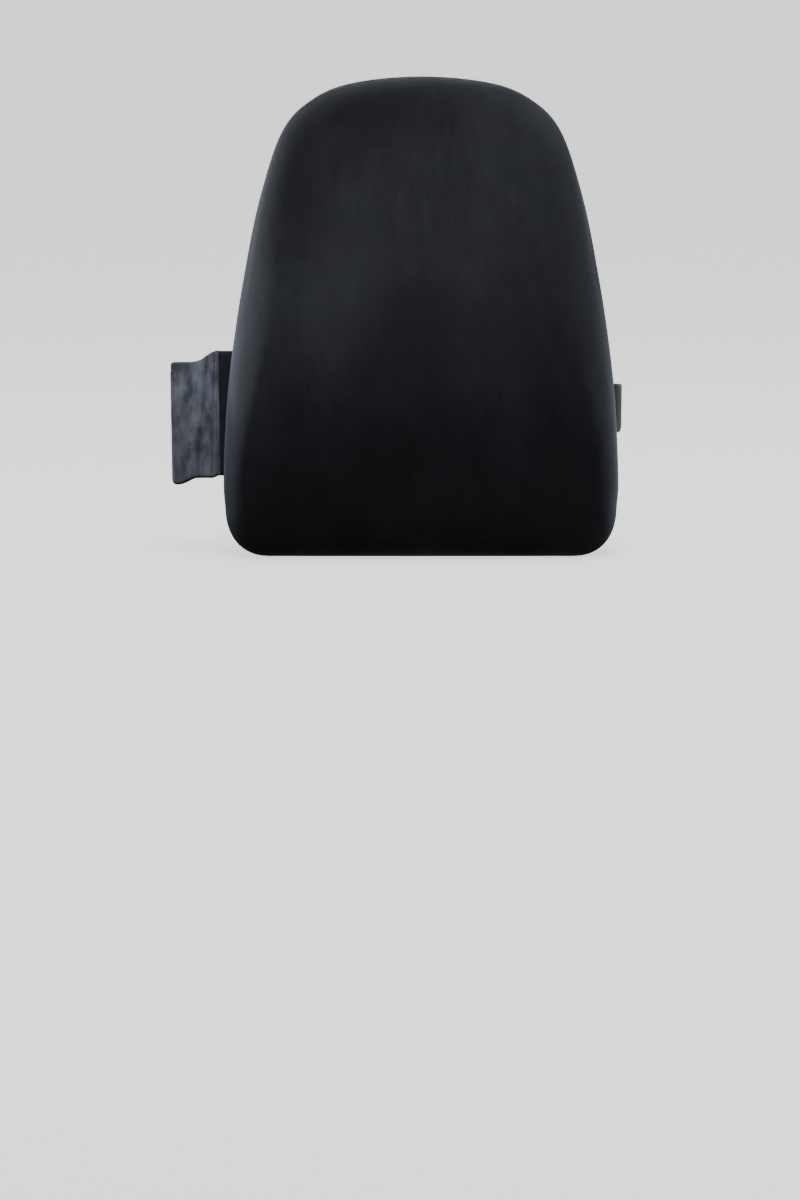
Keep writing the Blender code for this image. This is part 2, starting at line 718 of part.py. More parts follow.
def make_adjuster(material):
    """Three-bar slide: the run passes between the two outer bars and the raised middle bar."""
    x_low, x_high = ADJUSTER_X
    rail = STRAP_HALF + 0.0005
    outer = rail + ADJUSTER_RAIL
    slide = add_box("strap_adjuster", (x_low, ADJUSTER_Y[0], STRAP_Z - outer),
                    (x_high, ADJUSTER_Y[1], STRAP_Z + outer), material)
    add_bevel(slide, 0.0009)
    far = 0.01
    cut_box(slide, "middle", (x_low + ADJUSTER_BAR, ADJUSTER_Y[0] - far, STRAP_Z - rail),
            (x_high - ADJUSTER_BAR, ADJUSTER_Y[1] + far, STRAP_Z + rail), material)
    cut_box(slide, "over", (x_low - far, ADJUSTER_OUTER_BAR_TOP, STRAP_Z - rail),
            (x_high + far, ADJUSTER_Y[1] + far, STRAP_Z + rail), material)
    add_union(slide, "bar", (ADJUSTER_CENTRE_X[0], ADJUSTER_CENTRE_Y, STRAP_Z - outer + 0.001),
              (ADJUSTER_CENTRE_X[1], ADJUSTER_Y[1] - GAP, STRAP_Z + outer - 0.001), material)


# ======================= side pouch =======================

def pouch_top(x):
    share = smoothstep((x - POUCH_RISE_START) / (POUCH_NEAR - POUCH_RISE_START))
    return POUCH_HIGH_OUTER + (POUCH_HIGH_INNER - POUCH_HIGH_OUTER) * share


def pouch_bottom(x):
    share = smoothstep((x - POUCH_DROP[0]) / (POUCH_DROP[1] - POUCH_DROP[0]))
    return POUCH_LOW_OUTER + (POUCH_LOW_INNER - POUCH_LOW_OUTER) * share


def pouch_half(x):
    """Half the pouch's depth at x: almost nothing at the seam, full past its pleats."""
    share = (POUCH_NEAR - x) / (POUCH_NEAR - POUCH_FULL)
    return POUCH_NEAR_HALF + (POUCH_HALF_DEPTH - POUCH_NEAR_HALF) * min(share, 1.0)


POUCH_STATIONS = (POUCH_NEAR, -0.2270, -0.2315, POUCH_FULL, -0.2440, -0.2500, -0.2570, -0.2660, POUCH_FAR)


def make_pouch_panel(name, side, material):
    sections = []
    for x in POUCH_STATIONS:
        outer = POUCH_Y + side * pouch_half(x)
        inner = outer - side * POUCH_T
        low, high = pouch_bottom(x), pouch_top(x)
        sections.append([(x, outer, low), (x, outer, high), (x, inner, high), (x, inner, low)])
    loft(name, sections, material)


def make_pouch_gusset(material):
    """One strip between the panels: down the far side and along the bottom to the seam."""
    sections = []
    inside = POUCH_T + GAP
    path = [(POUCH_FAR, POUCH_HIGH_OUTER - HEM_DROP - GAP), (POUCH_FAR, POUCH_LOW_OUTER)]
    path += [(x, pouch_bottom(x)) for x in POUCH_STATIONS[-2::-1]]
    for i, (x, z) in enumerate(path):
        half = pouch_half(x) - inside
        inner_x = x + POUCH_T if i < 2 else x
        inner_z = z if i < 1 else z + POUCH_T
        sections.append([(x, POUCH_Y - half, z), (x, POUCH_Y + half, z),
                         (inner_x, POUCH_Y + half, inner_z), (inner_x, POUCH_Y - half, inner_z)])
    loft("pouch_gusset", sections, material)


def make_pouch_hem(material):
    """Binding on the mouth's front edge, inside the front panel."""
    sections = []
    for x in POUCH_STATIONS[3:]:
        outer = POUCH_Y - pouch_half(x) + POUCH_T + GAP
        high = pouch_top(x)
        sections.append([(x, outer, high - HEM_DROP), (x, outer, high),
                         (x, outer + HEM_T, high), (x, outer + HEM_T, high - HEM_DROP)])
    loft("pouch_hem", sections, material)


def make_pouch_flange(material):
    steps = 6
    sections = []
    for step in range(steps + 1):
        z = FLANGE_LOW + (FLANGE_HIGH - FLANGE_LOW) * step / steps
        near = -half_width(z) - 3 * GAP
        far = HINGE_X + GAP
        half = FLANGE_T / 2
        sections.append([(near, POUCH_Y - half, z), (near, POUCH_Y + half, z),
                         (far, POUCH_Y + half, z), (far, POUCH_Y - half, z)])
    loft("pouch_seam_flange", sections, material)


# ======================= build =======================

def build():
    clear_scene()
    velour = finish_material("black_velour", (0.012, 0.013, 0.016), 0.85)
    back_cloth = finish_material("black_back_cloth", (0.010, 0.010, 0.012), 0.90)
    foam = finish_material("grey_foam", (0.34, 0.35, 0.36), 0.95)
    firm_foam = finish_material("firm_foam", (0.16, 0.18, 0.21), 0.95)
    frame_plastic = finish_material("frame_plastic", (0.03, 0.03, 0.032), 0.50)
    hook_tape = finish_material("hook_tape", (0.02, 0.02, 0.02), 0.70)
    elastic = finish_material("elastic_webbing", (0.012, 0.012, 0.013), 0.75)
    acetal = finish_material("black_acetal", (0.015, 0.015, 0.016), 0.40)
    zip_cloth = finish_material("zip_cloth", (0.014, 0.014, 0.015), 0.80)
    zip_nylon = finish_material("zip_nylon", (0.020, 0.020, 0.022), 0.45)
    zip_metal = finish_material("zip_metal", (0.06, 0.06, 0.065), 0.35, metallic=1.0)
    binding = finish_material("pouch_binding", (0.014, 0.014, 0.016), 0.80)

    make_cover_front(velour)
    make_foam_core(foam)
    make_rear_foam(foam)
    make_frame_shell(frame_plastic)
    pad_body("lumbar_pad", 0.0, 0.0, firm_foam)
    make_hook_strip("lumbar_hook_strip_upper", LUMBAR_Z + HOOK_OFFSET, hook_tape)
    make_hook_strip("lumbar_hook_strip_lower", LUMBAR_Z - HOOK_OFFSET, hook_tape)
    make_back_panels(back_cloth)
    make_welt(velour)
    make_zip(zip_cloth, zip_nylon, zip_metal)
    make_anchor("strap_anchor_left", -1, elastic)
    make_anchor("strap_anchor_right", 1, elastic)
    make_straps(elastic)
    make_socket(acetal)
    make_plug(acetal)
    make_prong("buckle_prong_upper", 1, acetal)
    make_prong("buckle_prong_lower", -1, acetal)
    make_adjuster(acetal)
    make_pouch_panel("pouch_front_panel", -1, velour)
    make_pouch_panel("pouch_back_panel", 1, velour)
    make_pouch_gusset(velour)
    make_pouch_hem(binding)
    make_pouch_flange(velour)


build()
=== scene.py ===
"""Looks of the contoured lumbar support cushion: velour, foam, webbing, zip, buckle and pouch.

Metres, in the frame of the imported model: +Z up, -Y towards the sitter, +Y towards the chair back.
"""

import math

import bmesh
import bpy
from mathutils import Matrix, Vector, noise


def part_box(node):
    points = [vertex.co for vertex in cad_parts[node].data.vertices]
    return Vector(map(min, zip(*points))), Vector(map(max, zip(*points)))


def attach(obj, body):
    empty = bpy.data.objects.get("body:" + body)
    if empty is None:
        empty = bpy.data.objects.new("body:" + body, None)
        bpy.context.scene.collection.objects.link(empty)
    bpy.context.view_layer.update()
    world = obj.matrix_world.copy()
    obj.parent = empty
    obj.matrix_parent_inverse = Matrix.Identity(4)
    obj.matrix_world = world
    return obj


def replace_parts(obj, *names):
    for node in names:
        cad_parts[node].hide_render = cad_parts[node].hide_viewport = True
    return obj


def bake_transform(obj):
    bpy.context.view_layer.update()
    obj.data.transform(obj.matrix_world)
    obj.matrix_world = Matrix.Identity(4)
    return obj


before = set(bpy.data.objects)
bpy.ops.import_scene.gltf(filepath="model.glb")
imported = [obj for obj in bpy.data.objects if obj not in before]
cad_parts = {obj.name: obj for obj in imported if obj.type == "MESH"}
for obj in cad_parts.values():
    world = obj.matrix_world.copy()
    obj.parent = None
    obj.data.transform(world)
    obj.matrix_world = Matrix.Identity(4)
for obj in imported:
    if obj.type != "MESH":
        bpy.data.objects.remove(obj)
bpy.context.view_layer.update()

# ---- places taken from the frame ----
COVER_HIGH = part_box("cover_front")[1]
PANEL_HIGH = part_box("cover_back_upper")[1]
WELT_LOW, WELT_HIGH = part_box("seam_welt")
TAPE_HIGH_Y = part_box("zipper_tape_upper")[1].y
HEIGHT = COVER_HIGH.z
BACK_Y = PANEL_HIGH.y
RIM_Y = COVER_HIGH.y
WELT_Y = (WELT_LOW.y + WELT_HIGH.y) / 2
WELT_R = (WELT_HIGH.y - WELT_LOW.y) / 2
EDGE_Y = 0.031                      # where the cushion is widest
SIDE = "backrest"

# ---- outline seen from the front ----
CORNER_R = 0.048
BOTTOM_HALF = 0.169
SIDE_KNOTS = ((0.2183, 0.082), (0.2125, 0.170), (0.2015, 0.250), (0.1880, 0.320), (0.1725, 0.395),
              (0.1500, 0.458), (0.1190, 0.490), (0.0750, 0.508))
BOTTOM_STEPS = 14
CORNER_STEPS = 10
SIDE_STEPS = 6
CORE_SCALE = (0.30, 0.45)
CORE_CENTRE_Z = 0.26

# ---- depth from the back face ----
DEPTH_KNOTS = ((0.0, 0.080), (0.06, 0.091), (0.155, 0.100), (0.25, 0.084), (0.34, 0.064),
               (0.43, 0.053), (HEIGHT, 0.046))
CROWN = 0.17
BOLSTER_X = 0.152
BOLSTER_RISE = 0.006
BOLSTER_WIDTH = 0.028
BOLSTER_Z = 0.20
BOLSTER_SPAN = 0.12
ROLL_R = 0.042
WALL_SIDE = 0.006
WALL_BOTTOM = 0.045
WALL_FADE = 0.050
GROOVE_TOP = (0.128, 0.285)         # x and z of the valley's two ends
GROOVE_FOOT = (0.163, 0.165)
GROOVE_BANK = 0.0046
GROOVE_WIDTH = 0.011
COVER_RINGS = (14, 12, 4)           # on the face, over the rolled edge, down the side
COVER_T = 0.0012
COVER_TUCK = 0.0012                 # the cover turns in this much at its seam

# ---- back panels and zip ----
PANEL_INSET = 0.0015
PANEL_CROWN = 0.0014
PANEL_EASE = 0.016
PANEL_COLUMNS = 108
BACK_WEAVE_PITCH = 0.0016
HEM_WIDTH = 0.0092
HEM_RISE = 0.0007
HEM_STEPS = (0.0, 0.0005, 0.0012, 0.0025, 0.005, 0.0075, 0.009, 0.010, 0.013)   # from the zip
ZIP_Z = 0.058
ZIP_OPENING = 0.006
ZIP_HALF_LENGTH = 0.170
COIL_PITCH = 0.0015
COIL_WIRE = 0.00034
COIL_STEPS = 10                     # in each turn
SLIDER_PLATE_Y = 0.0406
SLIDER_TOP_Y = 0.0418
SLIDER_BRIDGE = (                   # along the zip from the slider's middle, and height
    (-0.0038, SLIDER_TOP_Y - 0.0002), (-0.0037, 0.0436), (-0.0028, 0.0449), (-0.0012, 0.0452),
    (0.0014, 0.0452), (0.0030, 0.0447), (0.0038, 0.0434), (0.0038, SLIDER_TOP_Y - 0.0002),
)
BRIDGE_WIRE = 0.00055

# ---- strap ----
STRAP_Z = 0.157
STRAP_HALF = 0.025
STRAP_T = 0.0018
WEBBING_SIDES = 36
WEBBING_STEP = 0.0011
RUN_Y = 0.0803                      # middle of the run beside the chair back
RETURN_Y = 0.0867                   # middle of the folded-back layer
RETURN_END = 0.088
BUCKLE_Y = 0.0835
SOCKET_LENGTH = 0.046
PLUG_BASE = 0.024
BAR_T = 0.004
TAB_PATH = ((0.2172, 0.0372), (0.2182, 0.0420), (0.2205, 0.0500))
TAB_GAP = 0.0012
SIDE_BEND = ((0.2207, 0.0508), (0.2232, 0.0580), (0.2242, 0.0655), (0.2215, 0.0730),
             (0.2150, 0.0783), (0.2050, RUN_Y))
WRAP_END = ((-0.1165, RETURN_Y), (-0.1190, 0.0859), (-0.1200, 0.0838), (-0.1200, 0.0824))

# ---- side pouch ----
POUCH_Y = 0.028                     # middle plane of the pouch
POUCH_NEAR = -0.2225
POUCH_FULL = -0.2360
POUCH_FAR = -0.2750
POUCH_T = 0.0012
POUCH_PINCH = 0.008                 # beside the seam strip, where both panels lie flat against it
POUCH_LOW, POUCH_HIGH = 0.0745, 0.2090      # of its outer corner
POUCH_TOP = ((POUCH_FAR, POUCH_HIGH), (-0.2620, POUCH_HIGH), (-0.2505, 0.2092), (-0.2420, 0.2120),
             (-0.2340, 0.2175), (-0.2262, 0.2212), (POUCH_NEAR, 0.2218))
POUCH_BOTTOM = ((POUCH_FAR, POUCH_LOW), (-0.2690, 0.0746), (-0.2620, 0.0760), (-0.2560, 0.0790),
                (-0.2515, 0.0815), (-0.2460, 0.0820), (-0.2290, 0.0820), (-0.2262, 0.0842),
                (POUCH_NEAR, 0.0848))
OUTER_FOLD = ((-0.2462, 0.084), (-0.2337, 0.2145))   # low and high end of each pleat's fold
INNER_FOLD = ((-0.2316, 0.084), (-0.2256, 0.2160))
PLEAT_LIFTS = (                     # of the outer panel, the pleat and the inner panel, by share of width
    ((0.0, 0.0), (0.18, -0.0010), (0.55, -0.0022), (0.88, -0.0010), (0.97, 0.0012), (1.0, 0.0030)),
    ((0.0, 0.0030), (0.10, 0.0004), (0.42, -0.0016), (0.80, -0.0006), (0.94, 0.0010), (1.0, 0.0028)),
    ((0.0, 0.0028), (0.22, -0.0006), (0.50, -0.0008), (1.0, 0.0)),
)
POUCH_HALVES = (((0.0, 0.0080), (1.0, 0.0080)), ((0.0, 0.0080), (1.0, 0.0064)),
                ((0.0, 0.0064), (0.5, 0.0052), (1.0, 0.00195)))
POUCH_CORNER_R = 0.0050
POUCH_ROLL_R = 0.0042               # where a panel turns into the gusset
POUCH_ROWS = 46
MOUTH_STITCH_DROP = 0.0078
FLANGE_LOW, FLANGE_HIGH = 0.084, 0.2215

# ---- studio ----
CAMERA_PLACE = (-0.0232, -2.386, 0.378)
CAMERA_TIP = 10.2                   # degrees below level
LENS_LENGTH, SENSOR_WIDTH = 65.7, 36.0
FLOOR_REACH = 6.0
WALL_BEND = 4.0
WALL_TOP = 8.0
LIGHT_TINT = (0.93, 0.965, 1.0)
SKY_STRENGTH = 0.09
FLOOR_GLOW = 1.25
SOFT_BOXES = (                      # name, place, aim, size, watts, spread in degrees
    ("front_softbox", (0.10, -0.80, 1.25), (0.0, -0.05, 0.38), (1.0, 0.2), 4.2, 25.0),
    ("overhead_softbox", (-0.15, -0.42, 2.35), (0.0, 0.0, 0.30), (1.3, 0.9), 4.0, 180.0),
    ("left_softbox", (-1.45, 0.85, 1.65), (-0.1, 0.0, 0.37), (0.5, 0.7), 5.5, 22.0),
    ("right_softbox", (1.45, 0.65, 1.75), (0.1, 0.0, 0.42), (0.5, 0.7), 2.0, 24.0),
)
FLOOR_WASH = ((0.3, -0.6, 4.0), (0.0, 0.0, 0.0), (2.0, 2.0), 110.0, 180.0)


# ---- node work ----

EVEN = (1.0, 1.0, 1.0)              # no stretch


class Wire:
    """A value inside a material, so that shader maths reads as ordinary arithmetic."""

    def __init__(self, finish, socket):
        self.finish = finish
        self.socket = socket

    def maths(self, operation, first, second):
        return self.finish.add("ShaderNodeMath", {"operation": operation}, {0: first, 1: second})

    def __add__(self, other):
        return self.maths("ADD", self, other)

    def __sub__(self, other):
        return self.maths("SUBTRACT", self, other)

    def __rsub__(self, other):
        return self.maths("SUBTRACT", other, self)

    def __mul__(self, other):
        return self.maths("MULTIPLY", self, other)

    __radd__ = __add__
    __rmul__ = __mul__


class Finish:
    """One material: a Principled shader whose constants are set here and whose maps are added."""

    def __init__(self, name, **constants):
        self.material = bpy.data.materials.new(name)
        self.material.use_nodes = True
        self.nodes = self.material.node_tree.nodes
        self.links = self.material.node_tree.links
        self.shader = self.nodes["Principled BSDF"]
        for label, value in constants.items():
            self.shader.inputs[label.replace("_", " ")].default_value = value

    def add(self, kind, settings, sockets, output=0):
        node = self.nodes.new(kind)
        for label, value in settings.items():
            setattr(node, label, value)
        for label, value in sockets.items():
            self.feed(node.inputs[label], value)
        return Wire(self, node.outputs[output])

    def feed(self, socket, value):
        if isinstance(value, Wire):
            self.links.new(value.socket, socket)
        else:
            socket.default_value = value

    def place(self, stretch=EVEN):
        """Object coordinates in metres, stretched."""
        coords = self.add("ShaderNodeTexCoord", {}, {}, output="Object")
        return self.add("ShaderNodeMapping", {}, {"Vector": coords, "Scale": stretch})

    def noise(self, scale, detail=2.0, stretch=EVEN):
        return self.add("ShaderNodeTexNoise", {},
                        {"Vector": self.place(stretch), "Scale": scale, "Detail": detail})

    def split(self, vector, index):
        return self.add("ShaderNodeSeparateXYZ", {}, {0: vector}, output=index)

    def axis(self, index):
        """X, Y or Z of a place on the piece, in metres."""
        return self.split(self.place(), index)

    def wave(self, value, pitch):
        """A ripple from 0 to 1 with this pitch in metres."""
        turned = value * (2 * math.pi / pitch)
        return self.add("ShaderNodeMath", {"operation": "SINE"}, {0: turned}) * 0.5 + 0.5

    def between(self, value, low, high):
        """0 at low, 1 at high, clamped and smooth."""
        return self.add("ShaderNodeMapRange", {"interpolation_type": "SMOOTHSTEP"},
                        {"Value": value, "From Min": low, "From Max": high})

    def corners(self, low, high):
        """0 on flats, 1 on outer corners."""
        return self.between(self.add("ShaderNodeNewGeometry", {}, {}, output="Pointiness"), low, high)

    def done(self, share, dark, light, roughness, height=None, depth=0.0, strength=0.0):
        """Colour from dark to light by share, a roughness, and a relief where a height is given."""
        painted = {"Roughness": roughness}
        painted["Base Color"] = self.add("ShaderNodeMix", {"data_type": "RGBA"},
                                         {0: share, 6: rgb(*dark), 7: rgb(*light)}, output=2)
        if height is not None:
            painted["Normal"] = self.add("ShaderNodeBump", {}, {"Height": height, "Distance": depth,
                                                                "Strength": strength})
        for label, value in painted.items():
            self.feed(self.shader.inputs[label], value)
        return self.material


def rgb(red, green, blue):
    return (red, green, blue, 1.0)


# ---- finishes ----

def velour_finish(name, dark, light, patch_scale):
    """Brushed stretch velour: a short nap that lies in soft light and dark patches."""
    finish = Finish(name, Specular_IOR_Level=0.06, Sheen_Weight=0.07, Sheen_Roughness=0.38,
                    Sheen_Tint=rgb(0.72, 0.80, 1.0))
    patches = finish.noise(patch_scale, detail=3.0, stretch=(1.0, 1.0, 0.6))
    streaks = finish.noise(170.0, stretch=(1.0, 1.0, 0.22))
    nap = finish.noise(1500.0, stretch=(1.0, 1.0, 0.55))
    share = finish.between(patches * 0.65 + streaks * 0.20 + nap * 0.15, 0.36, 0.66)
    return finish.done(share, dark, light, 0.96 - share * 0.16, nap * 0.7 + streaks * 0.5, 0.00035, 0.6)


def back_cloth_finish():
    """Plain weave with slubs: warp and weft ripples take turns on top."""
    finish = Finish("back_cloth", Specular_IOR_Level=0.15, Sheen_Weight=0.05, Sheen_Roughness=0.5)
    warp, weft = (finish.wave(finish.axis(index), BACK_WEAVE_PITCH) for index in (0, 2))
    weave = warp * weft + (1 - warp) * (1 - weft)
    slub = finish.noise(90.0, stretch=(0.25, 1.0, 1.0))
    tone = finish.between(slub * 0.2 + weave * 0.8, 0.1, 0.9)
    return finish.done(tone, (0.004, 0.004, 0.005), (0.013, 0.013, 0.015), 0.95 - weave * 0.15,
                       weave + slub * 0.2, 0.0003, 0.7)


def foam_finish(name, dark, light):
    """Moulded foam: fine open cells and a few larger pits."""
    finish = Finish(name, Specular_IOR_Level=0.15)
    cells, pits = (finish.add("ShaderNodeTexVoronoi", {}, {"Vector": finish.place(), "Scale": scale})
                   for scale in (900.0, 130.0))
    pit = finish.between(pits, 0.10, 0.28)
    share = cells * 0.35 + finish.noise(30.0, detail=3.0) * 0.45 + pit * 0.2
    return finish.done(share, dark, light, 0.98 - cells * 0.08, cells * 0.4 + pit, 0.0006, 0.5)


def grained_plastic_finish(name, dark, light, grain_scale, roughness, depth):
    """Moulded plastic: fine spark-eroded grain, faint flow marks, corners rubbed a little shinier."""
    finish = Finish(name, Specular_IOR_Level=0.45)
    grain = finish.noise(grain_scale, detail=3.0)
    flow = finish.noise(60.0, stretch=(0.4, 1.0, 1.0))
    share = finish.between(grain * 0.5 + flow * 0.5, 0.35, 0.65)
    rubbed = roughness + share * 0.10 - finish.corners(0.50, 0.58) * 0.12
    return finish.done(share, dark, light, rubbed, grain, depth, 0.5)


def elastic_finish():
    """Woven elastic: ribs across the strap and a fine weave over them."""
    finish = Finish("elastic_webbing", Specular_IOR_Level=0.2, Sheen_Weight=0.06, Sheen_Roughness=0.4)
    lie = finish.add("ShaderNodeUVMap", {"uv_map": "strap"}, {})
    ribs, warp = finish.wave(finish.split(lie, 0), 0.0017), finish.wave(finish.split(lie, 1), 0.0012)
    fuzz = finish.noise(1300.0, detail=1.0)
    height = ribs * 0.75 + warp * 0.35
    share = finish.between(height + fuzz * 0.3, 0.2, 1.2)
    return finish.done(share, (0.003, 0.003, 0.004), (0.015, 0.015, 0.017), 0.88 - share * 0.22,
                       height + fuzz * 0.15, 0.00035, 0.8)


def tape_finish(name, pitch, dark, light):
    """Narrow woven tape with a herringbone that turns every few ribs."""
    finish = Finish(name, Specular_IOR_Level=0.25)
    turn = finish.add("ShaderNodeMath", {"operation": "PINGPONG"}, {0: finish.axis(0), 1: pitch * 3})
    bones = finish.wave(finish.axis(2) + turn, pitch)
    fuzz = finish.noise(1100.0, detail=1.0)
    share = finish.between(bones + fuzz * 0.4, 0.1, 1.2)
    return finish.done(share, dark, light, 0.92 - share * 0.15, bones + fuzz * 0.2, 0.0002, 0.6)


def zip_metal_finish():
    """Black-plated zinc, rubbed to bare metal on its corners."""
    finish = Finish("zip_metal", Metallic=1.0)
    speck = finish.noise(700.0)
    rubbed = finish.between(finish.corners(0.53, 0.62) + speck * 0.3, 0.35, 0.95)
    return finish.done(rubbed, (0.035, 0.035, 0.038), (0.32, 0.31, 0.29), 0.34 + speck * 0.16,
                       speck, 0.00005, 0.4)


def nylon_finish():
    finish = Finish("zip_nylon", Specular_IOR_Level=0.5)
    cloud = finish.noise(400.0)
    return finish.done(cloud, (0.010, 0.010, 0.011), (0.028, 0.028, 0.030), 0.32 + cloud * 0.16,
                       cloud, 0.00004, 0.4)


def thread_finish():
    finish = Finish("sewing_thread", Specular_IOR_Level=0.35, Sheen_Weight=0.2)
    twist = finish.wave(finish.axis(0) + finish.axis(2) * 1.4, 0.0005)
    return finish.done(twist, (0.006, 0.006, 0.007), (0.022, 0.022, 0.025), 0.70 - twist * 0.2,
                       twist, 0.00008, 0.6)


def studio_finish():
    finish = Finish("pale_floor", Specular_IOR_Level=0.2, Emission_Color=rgb(1.0, 1.0, 1.0),
                    Emission_Strength=FLOOR_GLOW)
    cloud = finish.noise(1.4)
    return finish.done(cloud, (0.80, 0.80, 0.80), (0.83, 0.83, 0.83), 0.75 + cloud * 0.1)


VELOUR = velour_finish("cushion_velour", (0.0034, 0.0036, 0.0044), (0.0055, 0.0059, 0.0072), 9.0)
# The pouch is sewn from the cushion's velour; its much lighter colour here is painted light, standing in
# for the light that falls on the pouch.
POUCH_VELOUR_PAINTED_LIGHT = velour_finish("pouch_velour_painted_light", (0.017, 0.018, 0.022), (0.058, 0.062, 0.075), 52.0)
BACK_CLOTH = back_cloth_finish()
FOAM = foam_finish("grey_foam", (0.26, 0.27, 0.28), (0.42, 0.43, 0.44))
FIRM_FOAM = foam_finish("firm_foam", (0.11, 0.125, 0.15), (0.20, 0.225, 0.26))
FRAME_PLASTIC = grained_plastic_finish("frame_plastic", (0.020, 0.020, 0.021), (0.036, 0.036, 0.038),
                                       500.0, 0.48, 0.0002)
ACETAL = grained_plastic_finish("black_acetal", (0.010, 0.010, 0.011), (0.019, 0.019, 0.020),
                                1500.0, 0.34, 0.00006)
ELASTIC = elastic_finish()
ZIP_TAPE = tape_finish("zip_tape", 0.0009, (0.006, 0.006, 0.007), (0.024, 0.024, 0.026))
HOOK_TAPE = tape_finish("hook_tape", 0.0016, (0.010, 0.010, 0.010), (0.040, 0.040, 0.040))
BINDING = tape_finish("pouch_binding", 0.0011, (0.006, 0.006, 0.008), (0.026, 0.027, 0.031))
ZIP_METAL = zip_metal_finish()
NYLON = nylon_finish()
THREAD = thread_finish()

CARRIED_OVER = (
    (FRAME_PLASTIC, ("frame_shell",)),
    (HOOK_TAPE, ("lumbar_hook_strip_upper", "lumbar_hook_strip_lower")),
    (ZIP_TAPE, ("zipper_tape_upper", "zipper_tape_lower")),
    (ZIP_METAL, ("zipper_stop_closed", "zipper_stop_open")),
    (ACETAL, ("buckle_socket", "buckle_plug", "buckle_prong_upper", "buckle_prong_lower",
              "strap_adjuster")),
)


def wear(mesh, material):
    mesh.materials.clear()
    mesh.materials.append(material)


def dress_carried_parts():
    for material, nodes in CARRIED_OVER:
        for node in nodes:
            wear(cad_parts[node].data, material)


# ---- mesh work ----

def smoothstep(value):
    value = min(max(value, 0.0), 1.0)
    return value * value * (3 - 2 * value)


def bell(offset, width):
    return math.exp(-(offset / width) ** 2)


def spline(p0, p1, p2, p3, t):
    """Catmull-Rom between p1 and p2."""
    return 0.5 * (2 * p1 + (p2 - p0) * t + (2 * p0 - 5 * p1 + 4 * p2 - p3) * t * t
                  + (3 * p1 - p0 - 3 * p2 + p3) * t ** 3)


def eased(knots, place):
    """A value that eases from knot to knot."""
    for (low, first), (high, second) in zip(knots, knots[1:]):
        if place <= high:
            return first + (second - first) * smoothstep((place - low) / (high - low))
    return knots[-1][1]


def even_path(points, spacing, rounds=3, closed=False):
    """The same path with points this far apart and its corners eased."""
    knots = [Vector(point) for point in points]
    if closed:
        knots.append(knots[0])
    path = []
    for first, second in zip(knots, knots[1:]):
        steps = max(1, round((second - first).length / spacing))
        path += [first.lerp(second, step / steps) for step in range(steps)]
    if not closed:
        path.append(knots[-1])
    for _ in range(rounds):
        smooth = [(path[i - 1] + path[i] * 2 + path[(i + 1) % len(path)]) / 4 for i in range(len(path))]
        if not closed:
            smooth[0], smooth[-1] = path[0], path[-1]
        path = smooth
    return path


def spaced(path, pitch, closed=False):
    """Places a pitch apart along a path, each with the direction of the path there."""
    path = path + path[:1] if closed else path
    places, travelled, due = [], 0.0, pitch / 2
    for first, second in zip(path, path[1:]):
        span = (second - first).length
        while span > 0 and due <= travelled + span:
            places.append((first.lerp(second, (due - travelled) / span), (second - first).normalized()))
            due += pitch
        travelled += span
    return places


def wobble(point, scale, size):
    return noise.noise(Vector(point) * scale) * size


def put(name, data):
    thing = bpy.data.objects.new(name, data)
    bpy.context.scene.collection.objects.link(thing)
    return thing


def finish_piece(name, mesh, material, body=SIDE, sharp=None):
    wear(mesh, material)
    mesh.shade_smooth()
    if sharp:
        mesh.set_sharp_from_angle(angle=math.radians(sharp))
    piece = put(name, mesh)
    if body:
        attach(piece, body)
    return piece


def finished_mesh(name, bm):
    mesh = bpy.data.meshes.new(name)
    bm.to_mesh(mesh)
    bm.free()
    return mesh


def make_piece(name, bm, material, body=SIDE, sharp=None):
    bmesh.ops.recalc_face_normals(bm, faces=bm.faces)
    return finish_piece(name, finished_mesh(name, bm), material, body, sharp)


def apply_modifiers(piece):
    graph = bpy.context.evaluated_depsgraph_get()
    finished = bpy.data.meshes.new_from_object(piece.evaluated_get(graph))
    piece.modifiers.clear()
    piece.data = finished
    finished.shade_smooth()


def thicken(piece, thickness, levels=0):
    """Makes a sheet this thick behind its face, and finer if levels are given."""
    solid = piece.modifiers.new("cloth_thickness", "SOLIDIFY")
    solid.thickness = thickness
    solid.offset = -1.0
    if levels:
        finer = piece.modifiers.new("finer", "SUBSURF")
        finer.levels = finer.render_levels = levels
    apply_modifiers(piece)


def grid(bm, rows, closed=False):
    """Quads between rows of vertices."""
    for low, high in zip(rows, rows[1:]):
        for i in range(len(low) - (0 if closed else 1)):
            j = (i + 1) % len(low)
            bm.faces.new((low[i], low[j], high[j], high[i]))


def points_of(bm, rows):
    return [[bm.verts.new(point) for point in row] for row in rows]


def cloth(name, rows, thickness, material, body=SIDE, towards=1.0, levels=0):
    """A sheet through rows of points, thickened behind the side that the rows describe."""
    bm = bmesh.new()
    grid(bm, points_of(bm, rows))
    if towards < 0:
        bmesh.ops.reverse_faces(bm, faces=bm.faces)
    piece = finish_piece(name, finished_mesh(name, bm), material, None)
    thicken(piece, thickness, levels)
    if body:
        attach(piece, body)
    return piece


def ringed(bm, sections):
    """Skin over closed sections, with a lid on each end."""
    rows = points_of(bm, sections)
    grid(bm, rows, closed=True)
    bm.faces.new(rows[0])
    bm.faces.new(rows[-1])
    return rows


def heading(path, i, closed=False):
    """The direction of a path at one of its points."""
    if closed:
        return (path[(i + 1) % len(path)] - path[i - 1]).normalized()
    return (path[min(i + 1, len(path) - 1)] - path[max(i - 1, 0)]).normalized()


def round_section(middle, side, over, radius, sides):
    angles = (2 * math.pi * k / sides for k in range(sides))
    return [middle + (side * math.cos(a) + over * math.sin(a)) * radius for a in angles]


